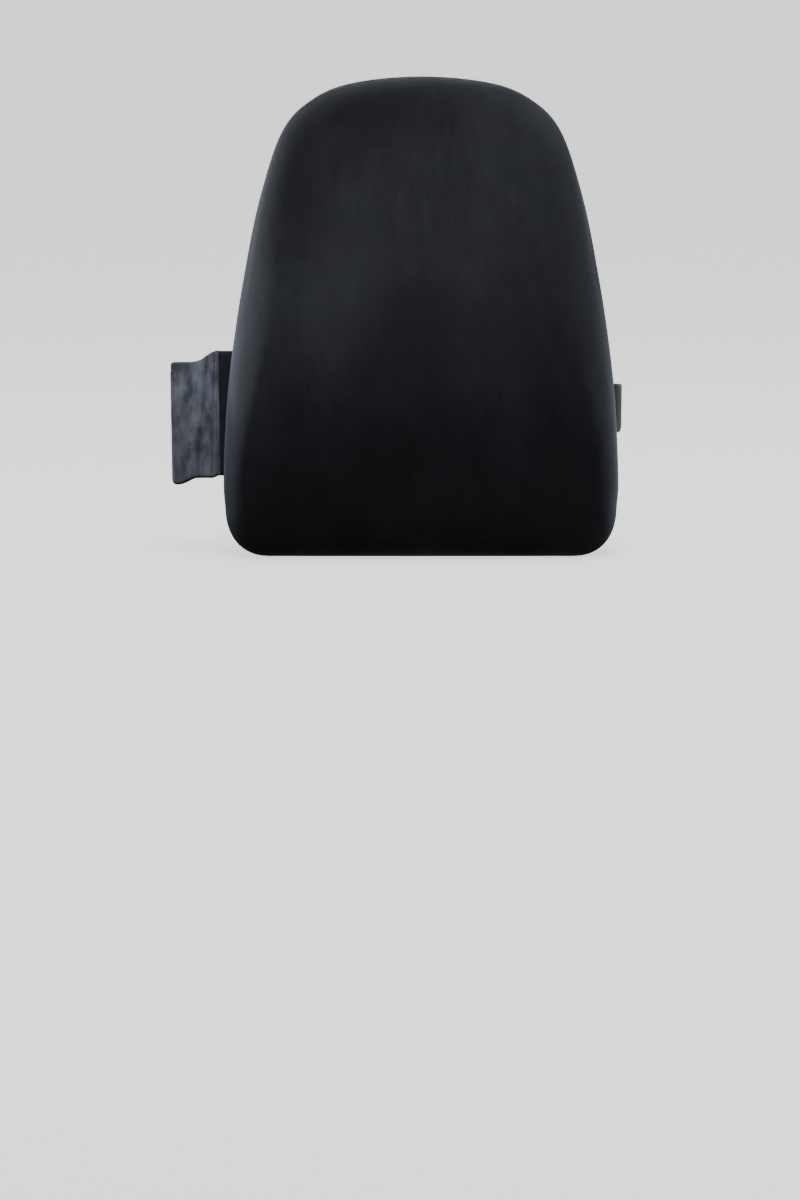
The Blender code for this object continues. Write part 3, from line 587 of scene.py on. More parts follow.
def add_cord(bm, path, radius, sides, closed=False, up=(0.0, 1.0, 0.0)):
    """A round cord along a path; radius is a number or a rule of the point's index."""
    sections = []
    for i, point in enumerate(path):
        along = heading(path, i, closed)
        side = along.cross(Vector(up)).normalized()
        thick = radius(i) if callable(radius) else radius
        sections.append(round_section(point, side, side.cross(along), thick, sides))
    if closed:
        rows = points_of(bm, sections)
        grid(bm, rows + rows[:1], closed=True)
    else:
        ringed(bm, sections)


STITCH_RISE = (0.15, 0.55, 0.75, 0.75, 0.55, 0.15)
STITCH_ROUND = (0.35, 0.85, 1.0, 1.0, 0.85, 0.35)
STITCH_SIDES = 6
ROW_SPACING = 0.002                 # of the points that a straight row of stitches runs through


def sew(bm, path, out, pitch=0.0034, length=0.0026, radius=0.00026, closed=False):
    """A row of single stitches on a path: each lies on the cloth and dips into it at both ends."""
    facing = Vector(out)
    last = len(STITCH_RISE) - 1
    for place, along in spaced(path, pitch, closed):
        side = along.cross(facing).normalized()
        sections = []
        for k in range(last + 1):
            middle = place + along * (k / last - 0.5) * length + facing * STITCH_RISE[k] * radius
            sections.append(round_section(middle, side, facing, radius * STITCH_ROUND[k], STITCH_SIDES))
        ringed(bm, sections)


def sewn(name, rows, out, body=SIDE, **stitch):
    """All the stitches of one seam as one piece."""
    bm = bmesh.new()
    for row in rows:
        sew(bm, row, out, **stitch)
    return make_piece(name, bm, THREAD, body)


def straight(first, last):
    return even_path([first, last], ROW_SPACING, 0)


def metal_plate(name, loops, y_low, y_high, edge, body):
    """A flat piece cut out in XZ, holes and all, with rounded edges."""
    outline = bpy.data.curves.new(name, "CURVE")
    outline.dimensions = "2D"
    outline.fill_mode = "BOTH"
    outline.extrude = (y_high - y_low) / 2 - edge
    outline.bevel_depth = edge
    outline.bevel_resolution = 2
    outline.offset = -edge
    for loop in loops:
        run = outline.splines.new("POLY")
        run.points.add(len(loop) - 1)
        for knot, (x, z) in zip(run.points, loop):
            knot.co = (x, z, 0.0, 1.0)
        run.use_cyclic_u = True
    drawn = bpy.data.objects.new(name + "_drawn", outline)
    mesh = bpy.data.meshes.new_from_object(drawn)
    bpy.data.objects.remove(drawn)
    bpy.data.curves.remove(outline)
    upright = Matrix.Rotation(math.pi / 2, 4, "X")
    mesh.transform(Matrix.Translation((0.0, (y_low + y_high) / 2, 0.0)) @ upright)
    return finish_piece(name, mesh, ZIP_METAL, body, sharp=50)


def arc(x, z, radius, start, end, steps):
    """Points on a circle, from one angle to another in degrees."""
    angles = [math.radians(start + (end - start) * step / steps) for step in range(steps + 1)]
    return [(x + radius * math.cos(a), z + radius * math.sin(a)) for a in angles]


# ---- the cushion ----

def right_half():
    points = [Vector((BOTTOM_HALF * (step + 0.5) / BOTTOM_STEPS, 0.0)) for step in range(BOTTOM_STEPS)]
    centre = Vector((BOTTOM_HALF, CORNER_R))
    for step in range(CORNER_STEPS):
        angle = math.radians(-90 + 90 * step / CORNER_STEPS)
        points.append(centre + Vector((math.cos(angle), math.sin(angle))) * CORNER_R)
    knots = [Vector((BOTTOM_HALF + CORNER_R, CORNER_R)), *(Vector(knot) for knot in SIDE_KNOTS)]
    knots.append(Vector((0.0, HEIGHT)))
    ends = [knots[0] - Vector((0.0, 0.03)), *knots, Vector((-knots[-2].x, knots[-2].y))]
    for i in range(1, len(ends) - 2):
        points += [spline(*ends[i - 1:i + 3], step / SIDE_STEPS) for step in range(SIDE_STEPS)]
    return points


RIGHT = right_half()
PAIRS = len(RIGHT)
OUTLINE = RIGHT + [Vector((0.0, HEIGHT))] + [Vector((-p.x, p.y)) for p in reversed(RIGHT)]
COUNT = len(OUTLINE)


def inward(i):
    along = OUTLINE[(i + 1) % COUNT] - OUTLINE[i - 1]
    return Vector((-along.y, along.x)).normalized()


def edge_point(i, inset):
    return OUTLINE[i] + inward(i) * inset


def edge_path(inset, y):
    """Once round the cushion, this far in from its outline."""
    return [Vector((p.x, y, p.y)) for p in (edge_point(i, inset) for i in range(COUNT))]


def core_point(i):
    point = OUTLINE[i]
    return Vector((point.x * CORE_SCALE[0], CORE_CENTRE_Z + (point.y - CORE_CENTRE_Z) * CORE_SCALE[1]))


def half_width(z):
    for low, high in zip(RIGHT[BOTTOM_STEPS:], RIGHT[BOTTOM_STEPS + 1:] + [Vector((0.0, HEIGHT))]):
        if low.y <= z <= high.y:
            share = (z - low.y) / max(high.y - low.y, 1e-9)
            return low.x + (high.x - low.x) * share
    return BOTTOM_HALF if z <= 0 else 0.0


def curve_through(knots, place):
    """A smooth curve's value at a place, held level past both ends."""
    place = min(max(place, knots[0][0]), knots[-1][0])
    for i in range(len(knots) - 1):
        if place <= knots[i + 1][0]:
            share = (place - knots[i][0]) / (knots[i + 1][0] - knots[i][0])
            before = knots[max(i - 1, 0)][1]
            after = knots[min(i + 2, len(knots) - 1)][1]
            return spline(before, knots[i][1], knots[i + 1][1], after, share)
    return knots[-1][1]


def groove(x, z):
    """Both banks of the shallow valley between the lumbar swelling and each side bolster."""
    share = (z - GROOVE_FOOT[1]) / (GROOVE_TOP[1] - GROOVE_FOOT[1])
    middle = GROOVE_FOOT[0] + (GROOVE_TOP[0] - GROOVE_FOOT[0]) * share
    aside = abs(x) - middle
    banks = bell(aside, GROOVE_WIDTH * 2.3) - bell(aside, GROOVE_WIDTH)
    return GROOVE_BANK * banks * bell(share - 0.45, 0.70)


def front_y(x, z):
    reach = abs(x) / max(half_width(z), 0.05)
    depth = curve_through(DEPTH_KNOTS, z) * (1 - CROWN * min(reach, 1.0) ** 2)
    bolster = BOLSTER_RISE * bell(abs(x) - BOLSTER_X, BOLSTER_WIDTH) * bell(z - BOLSTER_Z, BOLSTER_SPAN)
    return BACK_Y - depth - bolster - groove(x, z)


def wall_y(i):
    fade = smoothstep(1 - OUTLINE[i].y / WALL_FADE)
    return EDGE_Y - WALL_SIDE - (WALL_BOTTOM - WALL_SIDE) * fade


def towards_core(i, distance):
    start = OUTLINE[i]
    return start + (core_point(i) - start).normalized() * distance


def cover_rings():
    """Rings from the core of the front face out over the rolled edge and back to the seam."""
    rings = []
    inner_rings, roll_steps, wall_steps = COVER_RINGS
    for step in range(inner_rings):
        flats = [core_point(i).lerp(towards_core(i, ROLL_R), step / inner_rings) for i in range(COUNT)]
        rings.append([(flat.x, front_y(*flat), flat.y) for flat in flats])
    for step in range(roll_steps + 1):
        angle = math.radians(90 - 90 * step / roll_steps)
        ring = []
        for i in range(COUNT):
            flat = towards_core(i, ROLL_R * (1 - math.cos(angle)))
            start = wall_y(i)
            ring.append((flat.x, start + (front_y(*flat) - start) * math.sin(angle), flat.y))
        rings.append(ring)
    for step in range(1, wall_steps + 1):
        share = step / wall_steps
        ring = []
        for i in range(COUNT):
            flat = edge_point(i, COVER_TUCK * max(share - 0.6, 0.0) / 0.4)
            ring.append((flat.x, wall_y(i) + (RIM_Y - wall_y(i)) * share, flat.y))
        rings.append(ring)
    return rings


def fill_core(bm, ring, height):
    """Rows from the left to the right of a ring, following the given height."""
    columns = 2 * BOTTOM_STEPS + 1
    rows = [[*ring[-BOTTOM_STEPS - 1:], *ring[:BOTTOM_STEPS + 1]]]
    for i in range(BOTTOM_STEPS + 1, PAIRS):
        right, left = ring[i], ring[COUNT - 1 - i]
        row = [left]
        for column in range(1, columns):
            point = left.co.lerp(right.co, column / columns)
            row.append(bm.verts.new((point.x, height(point.x, point.z), point.z)))
        rows.append(row + [right])
    grid(bm, rows)
    top = ring[PAIRS]
    for c in range(columns):
        bm.faces.new((rows[-1][c], rows[-1][c + 1], top))


CLOTH_SETTINGS = {"quality": 5, "mass": 0.3, "tension_stiffness": 25, "compression_stiffness": 25,
                  "bending_stiffness": 2.0, "vertex_group_mass": "sewn", "use_pressure": True}
SWELL_FRAMES = 16
SWELL_PRESSURE = 2.0
SWELL_MOST = 0.0022                 # metres, outward


def swell(piece, frames, pressure, most, pinned):
    """Blows the cloth up a little; no point sinks in, or goes further out than the most allowed."""
    before = [(vert.co.copy(), vert.normal.copy()) for vert in piece.data.vertices]
    group = piece.vertex_groups.new(name="sewn")
    group.add(pinned, 1.0, "REPLACE")
    blown = piece.modifiers.new("stuffing", "CLOTH")
    for label, value in CLOTH_SETTINGS.items():
        setattr(blown.settings, label, value)
    blown.settings.uniform_pressure_force = pressure
    blown.settings.effector_weights.gravity = 0.0
    blown.collision_settings.use_collision = False
    blown.point_cache.frame_start = 1
    blown.point_cache.frame_end = frames
    scene = bpy.context.scene
    for number in range(1, frames + 1):
        scene.frame_set(number)
    apply_modifiers(piece)
    scene.frame_set(1)
    for vert, (start, out) in zip(piece.data.vertices, before):
        moved = vert.co - start
        moved -= out * min(moved.dot(out), 0.0)
        vert.co = start + moved * min(most / max(moved.length, most), 1.0)
        vert.co.z = max(vert.co.z, 0.0)


def make_cushion_cover():
    """The stretch cover over front and sides, taut on the foam and open behind at its seam."""
    bm = bmesh.new()
    loops = points_of(bm, cover_rings())
    grid(bm, loops, closed=True)
    fill_core(bm, loops[0], front_y)
    bm.faces.new(loops[-1])
    bm.verts.index_update()
    pinned = [vert.index for vert in loops[-1]]
    cover = make_piece("cushion_cover", bm, VELOUR, None)
    swell(cover, SWELL_FRAMES, SWELL_PRESSURE, SWELL_MOST, pinned)
    bm = bmesh.new()
    bm.from_mesh(cover.data)
    widest = max(bm.faces, key=lambda face: len(face.verts))
    bmesh.ops.delete(bm, geom=[widest], context="FACES_ONLY")
    bm.to_mesh(cover.data)
    bm.free()
    thicken(cover, COVER_T, levels=1)
    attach(cover, SIDE)
    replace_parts(cover, "cover_front")


def make_foam(node, voxel, name, material):
    """A moulded block with softened edges, in the room its solid has."""
    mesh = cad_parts[node].data.copy()
    piece = finish_piece(name, mesh, material, None)
    moulded = piece.modifiers.new("moulded", "REMESH")
    moulded.mode = "VOXEL"
    moulded.voxel_size = voxel
    eased_edges = piece.modifiers.new("eased_edges", "SMOOTH")
    eased_edges.factor = 0.5
    eased_edges.iterations = 3
    apply_modifiers(piece)
    wear(piece.data, material)
    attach(piece, SIDE)
    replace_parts(piece, node)


# ---- back of the cover ----

def panel_y(x, z, past_seam):
    """The back cloth stands a little proud of its seam and is drawn in at the edge."""
    drawn_in = PANEL_CROWN * (1 - smoothstep(past_seam / PANEL_EASE))
    slack = wobble((x, 0.3, z * 0.6), 24.0, 0.00035) + wobble((x, 0.8, z), 70.0, 0.00012)
    return BACK_Y + PANEL_CROWN * 0.5 - drawn_in + slack * smoothstep(past_seam / PANEL_EASE)


def hem_y(z, edge_z):
    """Double thickness of cloth along the zip, rolled under at the very edge."""
    far = abs(z - edge_z)
    fold = HEM_RISE * (1 - smoothstep((far - HEM_WIDTH) / 0.0012))
    roll = 0.0011 * (1 - smoothstep(far / 0.0014))
    return fold - roll


def closing(x, z, edge_z):
    """Past the zip's ends the two panels come together and are sewn shut."""
    shut = smoothstep((abs(x) - ZIP_HALF_LENGTH + 0.0005) / 0.004)
    near = 1 - smoothstep((abs(z - edge_z) - 0.001) / 0.016)
    return (ZIP_Z - edge_z) * 0.985 * shut * near


def panel_rows(levels, edge_z):
    """Rows across the back at each height."""
    rows = []
    for half, z in levels:
        row = []
        for column in range(PANEL_COLUMNS + 1):
            x = half * (2 * column / PANEL_COLUMNS - 1)
            past_seam = min(half - abs(x), HEIGHT - PANEL_INSET - z, z - PANEL_INSET * 0.5) + 0.0002
            y = panel_y(x, z, max(past_seam, 0.0)) + hem_y(z, edge_z)
            row.append((x, y, z + closing(x, z, edge_z)))
        rows.append(row)
    return rows


def make_back_panel(label, levels, edge_z, half):
    panel = cloth("back_panel_" + label, panel_rows(levels, edge_z), COVER_T, BACK_CLOTH,
                  towards=-1.0)
    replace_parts(panel, "cover_back_" + label)
    area = sum((a[0] + b[0]) * abs(b[1] - a[1]) for a, b in zip(levels, levels[1:]))
    2 * half


def make_back_panels():
    upper_edge, lower_edge = ZIP_Z + ZIP_OPENING, ZIP_Z - ZIP_OPENING
    outline = [edge_point(i, PANEL_INSET) for i in range(BOTTOM_STEPS, PAIRS)]
    upper = [(half_width(upper_edge + step) - PANEL_INSET, upper_edge + step) for step in HEM_STEPS]
    upper += [(p.x, p.y) for p in outline if p.y > upper[-1][1] + 0.002]
    upper.append((0.006, HEIGHT - PANEL_INSET))
    make_back_panel("upper", upper, upper_edge, upper[0][0])
    lower = [(p.x, p.y) for p in outline if p.y < lower_edge - 0.015]
    lower += [(half_width(lower_edge - step) - PANEL_INSET, lower_edge - step)
              for step in reversed(HEM_STEPS)]
    make_back_panel("lower", lower, lower_edge, lower[-1][0])


def make_seams():
    """The corded edge round the back and the stitches beside it and along the zip."""
    bm = bmesh.new()
    path = even_path(edge_path(WELT_R + 0.0003, WELT_Y), 0.003, 1, closed=True)
    add_cord(bm, path, lambda i: WELT_R + wobble(path[i], 210.0, 0.00012), 12, closed=True)
    welt = make_piece("corded_edge", bm, VELOUR)
    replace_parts(welt, "seam_welt")
    beside = even_path(edge_path(0.0068, 0.0), 0.003, 2, closed=True)
    rows = [[Vector((p.x, panel_y(p.x, p.z, 0.0053), p.z)) for p in beside]]
    sewn("edge_stitches", rows, (0.0, 1.0, 0.0), closed=True)
    rows = []
    half = ZIP_HALF_LENGTH - 0.001
    for side in (1, -1):
        for far in (0.0022, 0.0075):
            z = ZIP_Z + side * ZIP_OPENING + side * far
            rows.append([Vector((p.x, panel_y(p.x, z, 0.03) + HEM_RISE, z))
                         for p in straight((-half, 0.0, z), (half, 0.0, z))])
    tall, y = ZIP_OPENING * 0.7, TAPE_HIGH_Y + 0.0008
    for x in (ZIP_HALF_LENGTH + 0.003, -ZIP_HALF_LENGTH - 0.003):
        rows.append(straight((x, y, ZIP_Z - tall), (x, y, ZIP_Z + tall)))
    sewn("zip_stitches", rows, (0.0, 1.0, 0.0), pitch=0.0031, length=0.0024)


# ---- zip ----

def make_coil(name, side, node):
    """One nylon coil, wound flat, whose turns lock between the other's."""
    low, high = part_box(node)
    turns = round((high.x - low.x) / COIL_PITCH)
    depth = (high.y - low.y) / 2 - COIL_WIRE
    middle_y = (low.y + high.y) / 2
    width = (high.z - low.z) / 2 - COIL_WIRE + 0.00045
    middle_z = (low.z + high.z) / 2 - side * 0.0005
    lag = 0.0 if side > 0 else math.pi
    path = []
    for step in range(turns * COIL_STEPS + 1):
        angle = 2 * math.pi * step / COIL_STEPS + lag
        x = low.x + COIL_WIRE + (high.x - low.x - 2 * COIL_WIRE) * step / (turns * COIL_STEPS)
        path.append(Vector((x, middle_y + depth * math.sin(angle), middle_z + width * math.cos(angle))))
    bm = bmesh.new()
    add_cord(bm, path, COIL_WIRE, 5, up=(1.0, 0.0, 0.0))
    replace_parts(make_piece(name, bm, NYLON), node)


def make_zip():
    make_coil("zip_coil_upper", 1, "zipper_coil_upper")
    make_coil("zip_coil_lower", -1, "zipper_coil_lower")
    low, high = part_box("zipper_slider")
    x, z = (low.x + high.x) / 2, ZIP_Z
    nose, tail, half = high.x, low.x, (high.z - low.z) / 2
    outline = [*arc(nose - 0.0026, z + half - 0.0022, 0.0022, 80, 10, 4), (nose - 0.0006, z + 0.0008),
               (nose - 0.0006, z - 0.0008), *arc(nose - 0.0026, z - half + 0.0022, 0.0022, -10, -80, 4),
               *arc(tail + 0.0016, z - half * 0.72 + 0.0012, 0.0013, -100, -180, 3),
               *arc(tail + 0.0016, z + half * 0.72 - 0.0012, 0.0013, 180, 100, 3)]
    body = metal_plate("slider_plate", [outline], SLIDER_PLATE_Y, SLIDER_TOP_Y, 0.0003, "zip_slider")
    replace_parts(body, "zipper_slider")
    for side, label in ((1, "upper"), (-1, "lower")):
        inner, outer = half - 0.0011, half - 0.0001
        flange = [(tail + 0.0008, z + side * inner * 0.86), (tail + 0.0008, z + side * outer * 0.86),
                  (tail + 0.004, z + side * outer), (nose - 0.0022, z + side * outer),
                  (nose - 0.0022, z + side * inner), (tail + 0.004, z + side * inner)]
        metal_plate("slider_side_" + label, [flange], low.y, SLIDER_PLATE_Y + 0.0002, 0.00025,
                    "zip_slider")
    bm = bmesh.new()
    path = even_path([(x + along, y, z) for along, y in SLIDER_BRIDGE], 0.0007)
    add_cord(bm, path, BRIDGE_WIRE, 10, up=(0.0, 0.0, 1.0))
    make_piece("slider_bridge", bm, ZIP_METAL, "zip_slider")
    make_pull()


def make_pull():
    """A slim tab with a waist, a grip hole and two arms that meet in a bar under the bridge."""
    low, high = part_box("zipper_pull")
    near, far, z, half = high.x, low.x, ZIP_Z, (high.z - low.z) / 2
    outline = [*arc(near - 0.0012, z + half - 0.0014, 0.0012, 0, 90, 3), (near - 0.0062, z + half - 0.0003),
               (near - 0.0085, z + half * 0.62), (near - 0.0125, z + half * 0.70),
               *arc(far + half, z, half, 100, 260, 12), (near - 0.0125, z - half * 0.70),
               (near - 0.0085, z - half * 0.62), (near - 0.0062, z - half + 0.0003),
               *arc(near - 0.0012, z - half + 0.0014, 0.0012, -90, 0, 3)]
    window = []
    for back, side, start in ((0.0019, 1, 0), (0.0058, 1, 90), (0.0058, -1, 180), (0.0019, -1, 270)):
        window += arc(near - back, z + side * 0.0008, 0.0006, start, start + 90, 3)
    grip = arc(far + half + 0.0002, z, 0.0013, 0, 345, 23)
    pull = metal_plate("pull_tab", [outline, window, grip], low.y, high.y, 0.0003, "zip_pull")
    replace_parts(pull, "zipper_pull")


# ---- webbing ----

def webbing(name, points, body=SIDE):
    """Flat woven strap on edge: its middle line runs in X and Y, and its width is along Z."""
    path = even_path(points, WEBBING_STEP, 4)
    travelled = 0.0
    sections, lengths = [], []
    for i, point in enumerate(path):
        along = heading(path, i)
        across = Vector((-along.y, along.x))
        travelled += (point - path[i - 1]).length if i else 0.0
        lengths.append(travelled)
        section = []
        for k in range(WEBBING_SIDES):
            angle = 2 * math.pi * k / WEBBING_SIDES
            reach = math.copysign(abs(math.cos(angle)) ** 0.28, math.cos(angle))
            swollen = math.copysign(abs(math.sin(angle)) ** 0.45, math.sin(angle))
            bead = 1 + 0.16 * smoothstep((abs(reach) - 0.90) / 0.06)
            wavy = wobble((travelled * 30, reach, 0.0), 1.0, 0.00025)
            section.append((*(point + across * swollen * STRAP_T / 2 * bead),
                            STRAP_Z + reach * STRAP_HALF + wavy))
        sections.append(section)
    bm = bmesh.new()
    lie = bm.loops.layers.uv.new("strap")
    rows = ringed(bm, sections)
    reached = {vert: length for row, length in zip(rows, lengths) for vert in row}
    for face in bm.faces:
        for loop in face.loops:
            loop[lie].uv = (reached[loop.vert], loop.vert.co.z)
    return make_piece(name, bm, ELASTIC, body)


def turn_round_bar(side, bar_outer):
    """The U that the webbing makes round a buckle's bar."""
    inner = bar_outer - side * BAR_T
    radius = RETURN_Y - BUCKLE_Y
    points = []
    for step in range(9):
        angle = math.radians(-90 + 22.5 * step)
        points.append((inner + side * 0.0006 - side * math.cos(angle) * (radius - 0.0003),
                       BUCKLE_Y + radius * math.sin(angle)))
    return points


def box_stitch(first, last, half):
    """A rectangle of stitches with a cross in it, from one place in X and Y to another."""
    corners = [(*place, STRAP_Z + z) for place, z in ((first, -half), (last, -half), (last, half),
                                                      (first, half))]
    return [straight(corners[a], corners[b])
            for a, b in ((0, 1), (1, 2), (2, 3), (3, 0), (0, 2), (1, 3))]


def make_straps():
    tuck_in = [(0.2178, 0.0395), (0.2192, 0.0450), *SIDE_BEND]
    lead, over = 0.056, RUN_Y + STRAP_T + 0.0001     # lead: the straight part beside the bar
    strap = webbing("strap_right_elastic", [
        *tuck_in, (lead, RUN_Y), *turn_round_bar(1, SOCKET_LENGTH), (lead, RETURN_Y), (0.066, 0.0853),
        (0.074, 0.0832), (0.080, over), (RETURN_END, over)])
    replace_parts(strap, "strap_right")
    top = RUN_Y + 1.5 * STRAP_T
    sewn("strap_right_stitches", box_stitch((0.0775, top), (0.0865, top), 0.021), (0.0, 1.0, 0.0))
    strap = webbing("strap_left_run", [
        *((-x, y) for x, y in tuck_in), (-PLUG_BASE - 0.012, RUN_Y), *turn_round_bar(-1, -PLUG_BASE),
        (-PLUG_BASE - 0.006, RETURN_Y)], None)
    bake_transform(strap)
    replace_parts(strap, "strap_left")
    strap = webbing("strap_left_return", [
        (-PLUG_BASE - 0.0055, RETURN_Y), (-0.070, RETURN_Y), (-0.100, RETURN_Y), *WRAP_END], None)
    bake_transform(strap)
    for side, label in ((1, "right"), (-1, "left")):
        make_tab(side, label)


def make_tab(side, label):
    """A folded webbing tab in the side seam, with the strap's end sewn between its layers."""
    bm = bmesh.new()
    middle = even_path([(side * x, y) for x, y in ((0.2166, 0.0366), *TAB_PATH)], 0.0012)
    half = STRAP_HALF + 0.0012
    for layer in (1, -1):
        sections = []
        for i, point in enumerate(middle):
            along = heading(middle, i)
            across = Vector((-along.y, along.x)) * layer
            close = TAB_GAP * smoothstep(i / 4)
            low, high = across * (0.0001 + close), across * (0.0011 + close)
            corners = ((low, -half), (high, -half + 0.0003), (high, half - 0.0003), (low, half))
            sections.append([(*(point + aside), STRAP_Z + z) for aside, z in corners])
        ringed(bm, sections)
    tab = make_piece("strap_tab_" + label, bm, BINDING, sharp=45)
    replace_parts(tab, "strap_anchor_" + label)
    first, last = middle[3], middle[-2]
    along = (last - first).normalized()
    outward = Vector((along.y, -along.x)) * side
    lift = outward * (0.0012 + TAB_GAP)
    sewn("strap_tab_stitches_" + label, box_stitch(first + lift, last + lift, 0.022),
         (outward.x, outward.y, 0.0), pitch=0.0029, length=0.0022)


# ---- side pouch ----

def pouch_top(x):
    return curve_through(POUCH_TOP, x)


def pouch_bottom(x):
    return curve_through(POUCH_BOTTOM, x)


def rounding(distance, radius):
    """How far a rounded edge has dropped at this distance from it."""
    inside = max(radius - max(distance, 0.0), 0.0)
    return radius - math.sqrt(max(radius * radius - inside * inside, 0.0))


def crease(line, z):
    """Where a pleat's fold line stands at this height."""
    (x_low, z_low), (x_high, z_high) = line
    return x_low + (x_high - x_low) * (z - z_low) / (z_high - z_low)


def looseness(x):
    """0 where the seam strip holds a panel, 1 from a pinch's width away."""
    return min(max((POUCH_NEAR - x) / POUCH_PINCH, 0.0), 1.0)


def pouch_columns():
    """Each column's panel (outer, pleat, inner) and its share of that panel's width, closer at folds."""
    columns = []
    for part, steps in ((0, 26), (1, 14), (2, 9)):
        for step in range(steps):
            share = step / steps
            columns.append((part, share - math.sin(2 * math.pi * share) / (2 * math.pi) * 0.75))
    return columns + [(2, 1.0)]


def pouch_front_point(part, share, up):
    z_guess = POUCH_LOW + (POUCH_HIGH - POUCH_LOW) * up
    stops = (POUCH_FAR, crease(OUTER_FOLD, z_guess), crease(INNER_FOLD, z_guess), POUCH_NEAR)
    x = stops[part] + (stops[part + 1] - stops[part]) * share
    far = x - POUCH_FAR
    low = pouch_bottom(x) + rounding(far, POUCH_CORNER_R)
    high = pouch_top(x) - rounding(far, 0.0025)
    z = low + (high - low) * up
    lift = eased(PLEAT_LIFTS[part], share)
    soft = 0.55 + 0.45 * math.sin(math.pi * min(max(up, 0.0), 1.0)) ** 0.7
    droop = wobble((x * 0.8, 0.0, z), 46.0, 0.0007) + wobble((x, 0.5, z), 120.0, 0.00022)
    droop *= looseness(x)
    edge = rounding(min(far, z - low), POUCH_ROLL_R)
    half = eased(POUCH_HALVES[part], share)
    return Vector((x, POUCH_Y - half + lift * soft + droop + edge * 0.95, z))


def make_pouch():
    columns = pouch_columns()
    ups = set()
    for step in range(POUCH_ROWS + 1):
        share = step / POUCH_ROWS
        up = share ** 1.15 * 0.5 / 0.5 ** 1.15 if share <= 0.5 else 1 - (1 - share) ** 1.15
        ups.add(min(max(up, 0.0), 1.0))
    ups = sorted(ups | {0.008, 0.018, 0.985})
    rows = [[pouch_front_point(part, share, up) for part, share in columns] for up in ups]
    front = cloth("pouch_front_cloth", rows, POUCH_T, POUCH_VELOUR_PAINTED_LIGHT, "pouch", levels=1)
    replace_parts(front, "pouch_front_panel")
    hem = make_hem()
    rows = []
    for up in ups:
        row = []
        for part, share in columns[::2] + columns[-1:]:
            point = pouch_front_point(part, share, up)
            half = eased(POUCH_HALVES[part], share)
            edge = rounding(min(point.x - POUCH_FAR, point.z - pouch_bottom(point.x)), POUCH_ROLL_R)
            slack = wobble((point.x, 2.0, point.z), 40.0, 0.0009) * looseness(point.x)
            row.append((point.x, POUCH_Y + half + slack - edge * 0.95, point.z))
        rows.append(row)
    rear = cloth("pouch_rear_cloth", rows, POUCH_T, POUCH_VELOUR_PAINTED_LIGHT, "pouch", towards=-1.0)
    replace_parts(rear, "pouch_back_panel")
    make_gusset()
    make_pouch_flange()
    make_pouch_stitches()


def make_hem():
    """Binding tape folded over inside the mouth's front edge."""
    rows = []
    for step in range(41):
        part, share = (0, 0.05 + 0.95 * step / 28) if step <= 28 else (1, (step - 28) / 12.5)
        top = pouch_front_point(part, share, 0.994)
        rows.append([(top.x, top.y + POUCH_T + 0.0003, top.z - 0.0100 * k / 5) for k in range(6)])
    hem = cloth("pouch_mouth_binding", rows, 0.0009, BINDING, "pouch", towards=-1.0)
    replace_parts(hem, "pouch_hem")
    return hem


def make_gusset():
    """The strip between the two panels, down the far side and along the bottom."""
    corner_x, corner_z = POUCH_FAR + POUCH_CORNER_R, POUCH_LOW + POUCH_CORNER_R
    path = [(POUCH_FAR, POUCH_HIGH - 0.0102), *arc(corner_x, corner_z, POUCH_CORNER_R, 180, 270, 6)]
    xs = (corner_x + (POUCH_NEAR - corner_x) * step / 30 for step in range(1, 31))
    path = even_path(path + [(x, pouch_bottom(x)) for x in xs], 0.0022, 2)
    rows = []
    for i, point in enumerate(path):
        along = heading(path, i)
        outward = Vector((along.y, -along.x)) * -1
        outward = -outward if outward.dot(point - Vector((-0.245, 0.145))) < 0 else outward
        half = gusset_half(point.x)
        row = []
        for k in range(9):
            across = k / 4 - 1
            puff = 0.0007 * (1 - across * across) + wobble((point.x, across, point.y), 90.0, 0.0003)
            flat = point + outward * (puff + 0.0001)
            row.append((flat.x, POUCH_Y + across * half, flat.y))
        rows.append(row)
    strip = cloth("pouch_gusset_strip", rows, POUCH_T, POUCH_VELOUR_PAINTED_LIGHT, "pouch", towards=1.0)
    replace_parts(strip, "pouch_gusset")


def gusset_half(x):
    share = (POUCH_NEAR - x) / (POUCH_NEAR - POUCH_FULL)
    return 0.0014 + 0.0036 * min(max(share, 0.0), 1.0)


def make_pouch_flange():
    """The strip that hangs the pouch in the cushion's side seam."""
    rows = []
    for step in range(29):
        z = FLANGE_LOW + (FLANGE_HIGH - FLANGE_LOW) * step / 28
        near = -half_width(z) + 0.004
        far = POUCH_NEAR - 0.0022
        row = []
        for k in range(15):
            x = near + (far - near) * k / 14
            sag = wobble((x, 3.0, z), 60.0, 0.0005) * math.sin(math.pi * k / 14)
            row.append((x, POUCH_Y + 0.0007 + sag, z))
        rows.append(row)
    strip = cloth("pouch_seam_strip", rows, 0.0014, VELOUR, None, towards=1.0)
    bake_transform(strip)
    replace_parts(strip, "pouch_seam_flange")


def make_pouch_stitches():
    beneath_mouth = []
    for part, share in pouch_columns()[2:-4]:
        point = pouch_front_point(part, share, 1.0)
        drop = MOUTH_STITCH_DROP / (pouch_top(point.x) - pouch_bottom(point.x))
        beneath_mouth.append(pouch_front_point(part, share, 1 - drop))
    beside_seam = [pouch_front_point(2, 0.80, up / 60) for up in range(2, 59)]
    sewn("pouch_stitches", [beneath_mouth, beside_seam], (0.0, -1.0, 0.0), "pouch", pitch=0.0030,
         length=0.0022, radius=0.00022)


# ---- stage ----

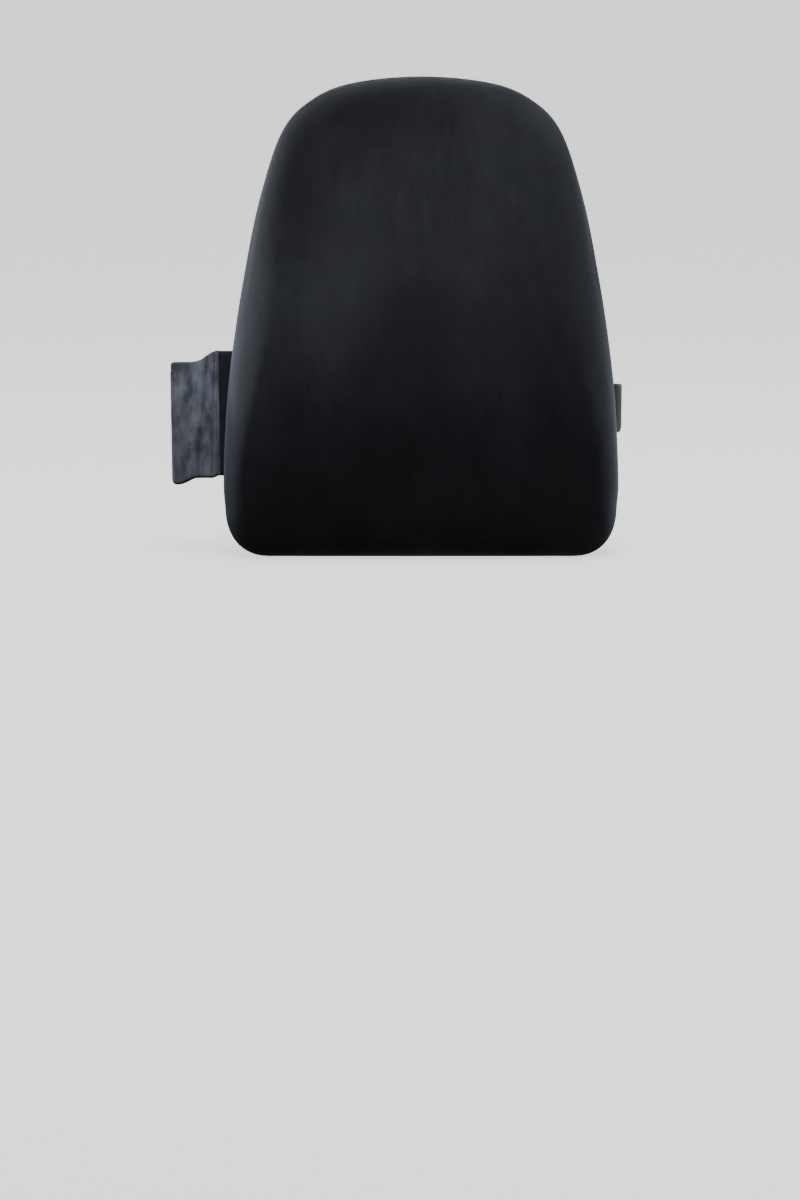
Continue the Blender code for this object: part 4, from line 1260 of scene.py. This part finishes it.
def make_stage():
    """A pale floor that curves up into a wall all round, so that it has no edge from any side."""
    bm = bmesh.new()
    profile = [(reach, 0.0) for reach in (0.4, 1.0, 2.0, 3.5)]
    profile += arc(FLOOR_REACH, WALL_BEND, WALL_BEND, -90, 0, 16)
    profile.append((FLOOR_REACH + WALL_BEND, WALL_TOP))
    rows = points_of(bm, [[(x, y, z) for x, y in arc(0.0, 0.0, reach, 0, 360, 96)[:-1]]
                          for reach, z in profile])
    grid(bm, rows, closed=True)
    bm.faces.new(rows[0])
    bmesh.ops.recalc_face_normals(bm, faces=bm.faces)
    mesh = finished_mesh("studio_floor", bm)
    wear(mesh, studio_finish())
    mesh.shade_smooth()
    floor = put("studio_floor", mesh)
    floor.location.z = -0.0005
    floor.visible_diffuse = False
    return floor


def add_light(name, spot, aim, size, power, spread, floor, floor_share):
    """A gridded soft box, which either spares the floor or lights nothing else."""
    lamp = bpy.data.lights.new(name, "AREA")
    lamp.shape = "RECTANGLE"
    lamp.size, lamp.size_y = size
    lamp.energy = power
    lamp.spread = math.radians(spread)
    lamp.color = LIGHT_TINT
    light = put(name, lamp)
    light.location = spot
    light.rotation_euler = (Vector(aim) - Vector(spot)).to_track_quat("-Z", "Y").to_euler()
    lit = bpy.data.collections.new(name + "_lights")
    lit.objects.link(floor)
    light.light_linking.receiver_collection = lit
    lit.collection_objects[0].light_linking.link_state = floor_share


def make_lights(floor):
    world = bpy.data.worlds.new("studio")
    world.use_nodes = True
    sky = world.node_tree.nodes["Background"]
    sky.inputs["Color"].default_value = rgb(0.97, 0.985, 1.0)
    sky.inputs["Strength"].default_value = SKY_STRENGTH
    bpy.context.scene.world = world
    for name, spot, aim, size, power, spread in SOFT_BOXES:
        add_light(name, spot, aim, size, power, spread, floor, "EXCLUDE")
    add_light("floor_wash", *FLOOR_WASH, floor, "INCLUDE")


def make_camera():
    """Level with the top of the cushion and tipped down, as one looks at a chair from across a room."""
    lens = bpy.data.cameras.new("view")
    lens.sensor_fit = "AUTO"
    lens.sensor_width = SENSOR_WIDTH
    lens.lens = LENS_LENGTH
    camera = put("view", lens)
    camera.location = CAMERA_PLACE
    camera.rotation_euler = (math.radians(90 - CAMERA_TIP), 0.0, 0.0)
    bpy.context.scene.camera = camera


make_camera()
make_lights(make_stage())
dress_carried_parts()
make_cushion_cover()
make_foam("foam_core", 0.0040, "foam_block", FOAM)
make_foam("rear_foam_layer", 0.0030, "rear_foam_block", FOAM)
make_foam("lumbar_pad", 0.0030, "lumbar_block", FIRM_FOAM)
make_back_panels()
make_seams()
make_zip()
make_straps()
make_pouch()
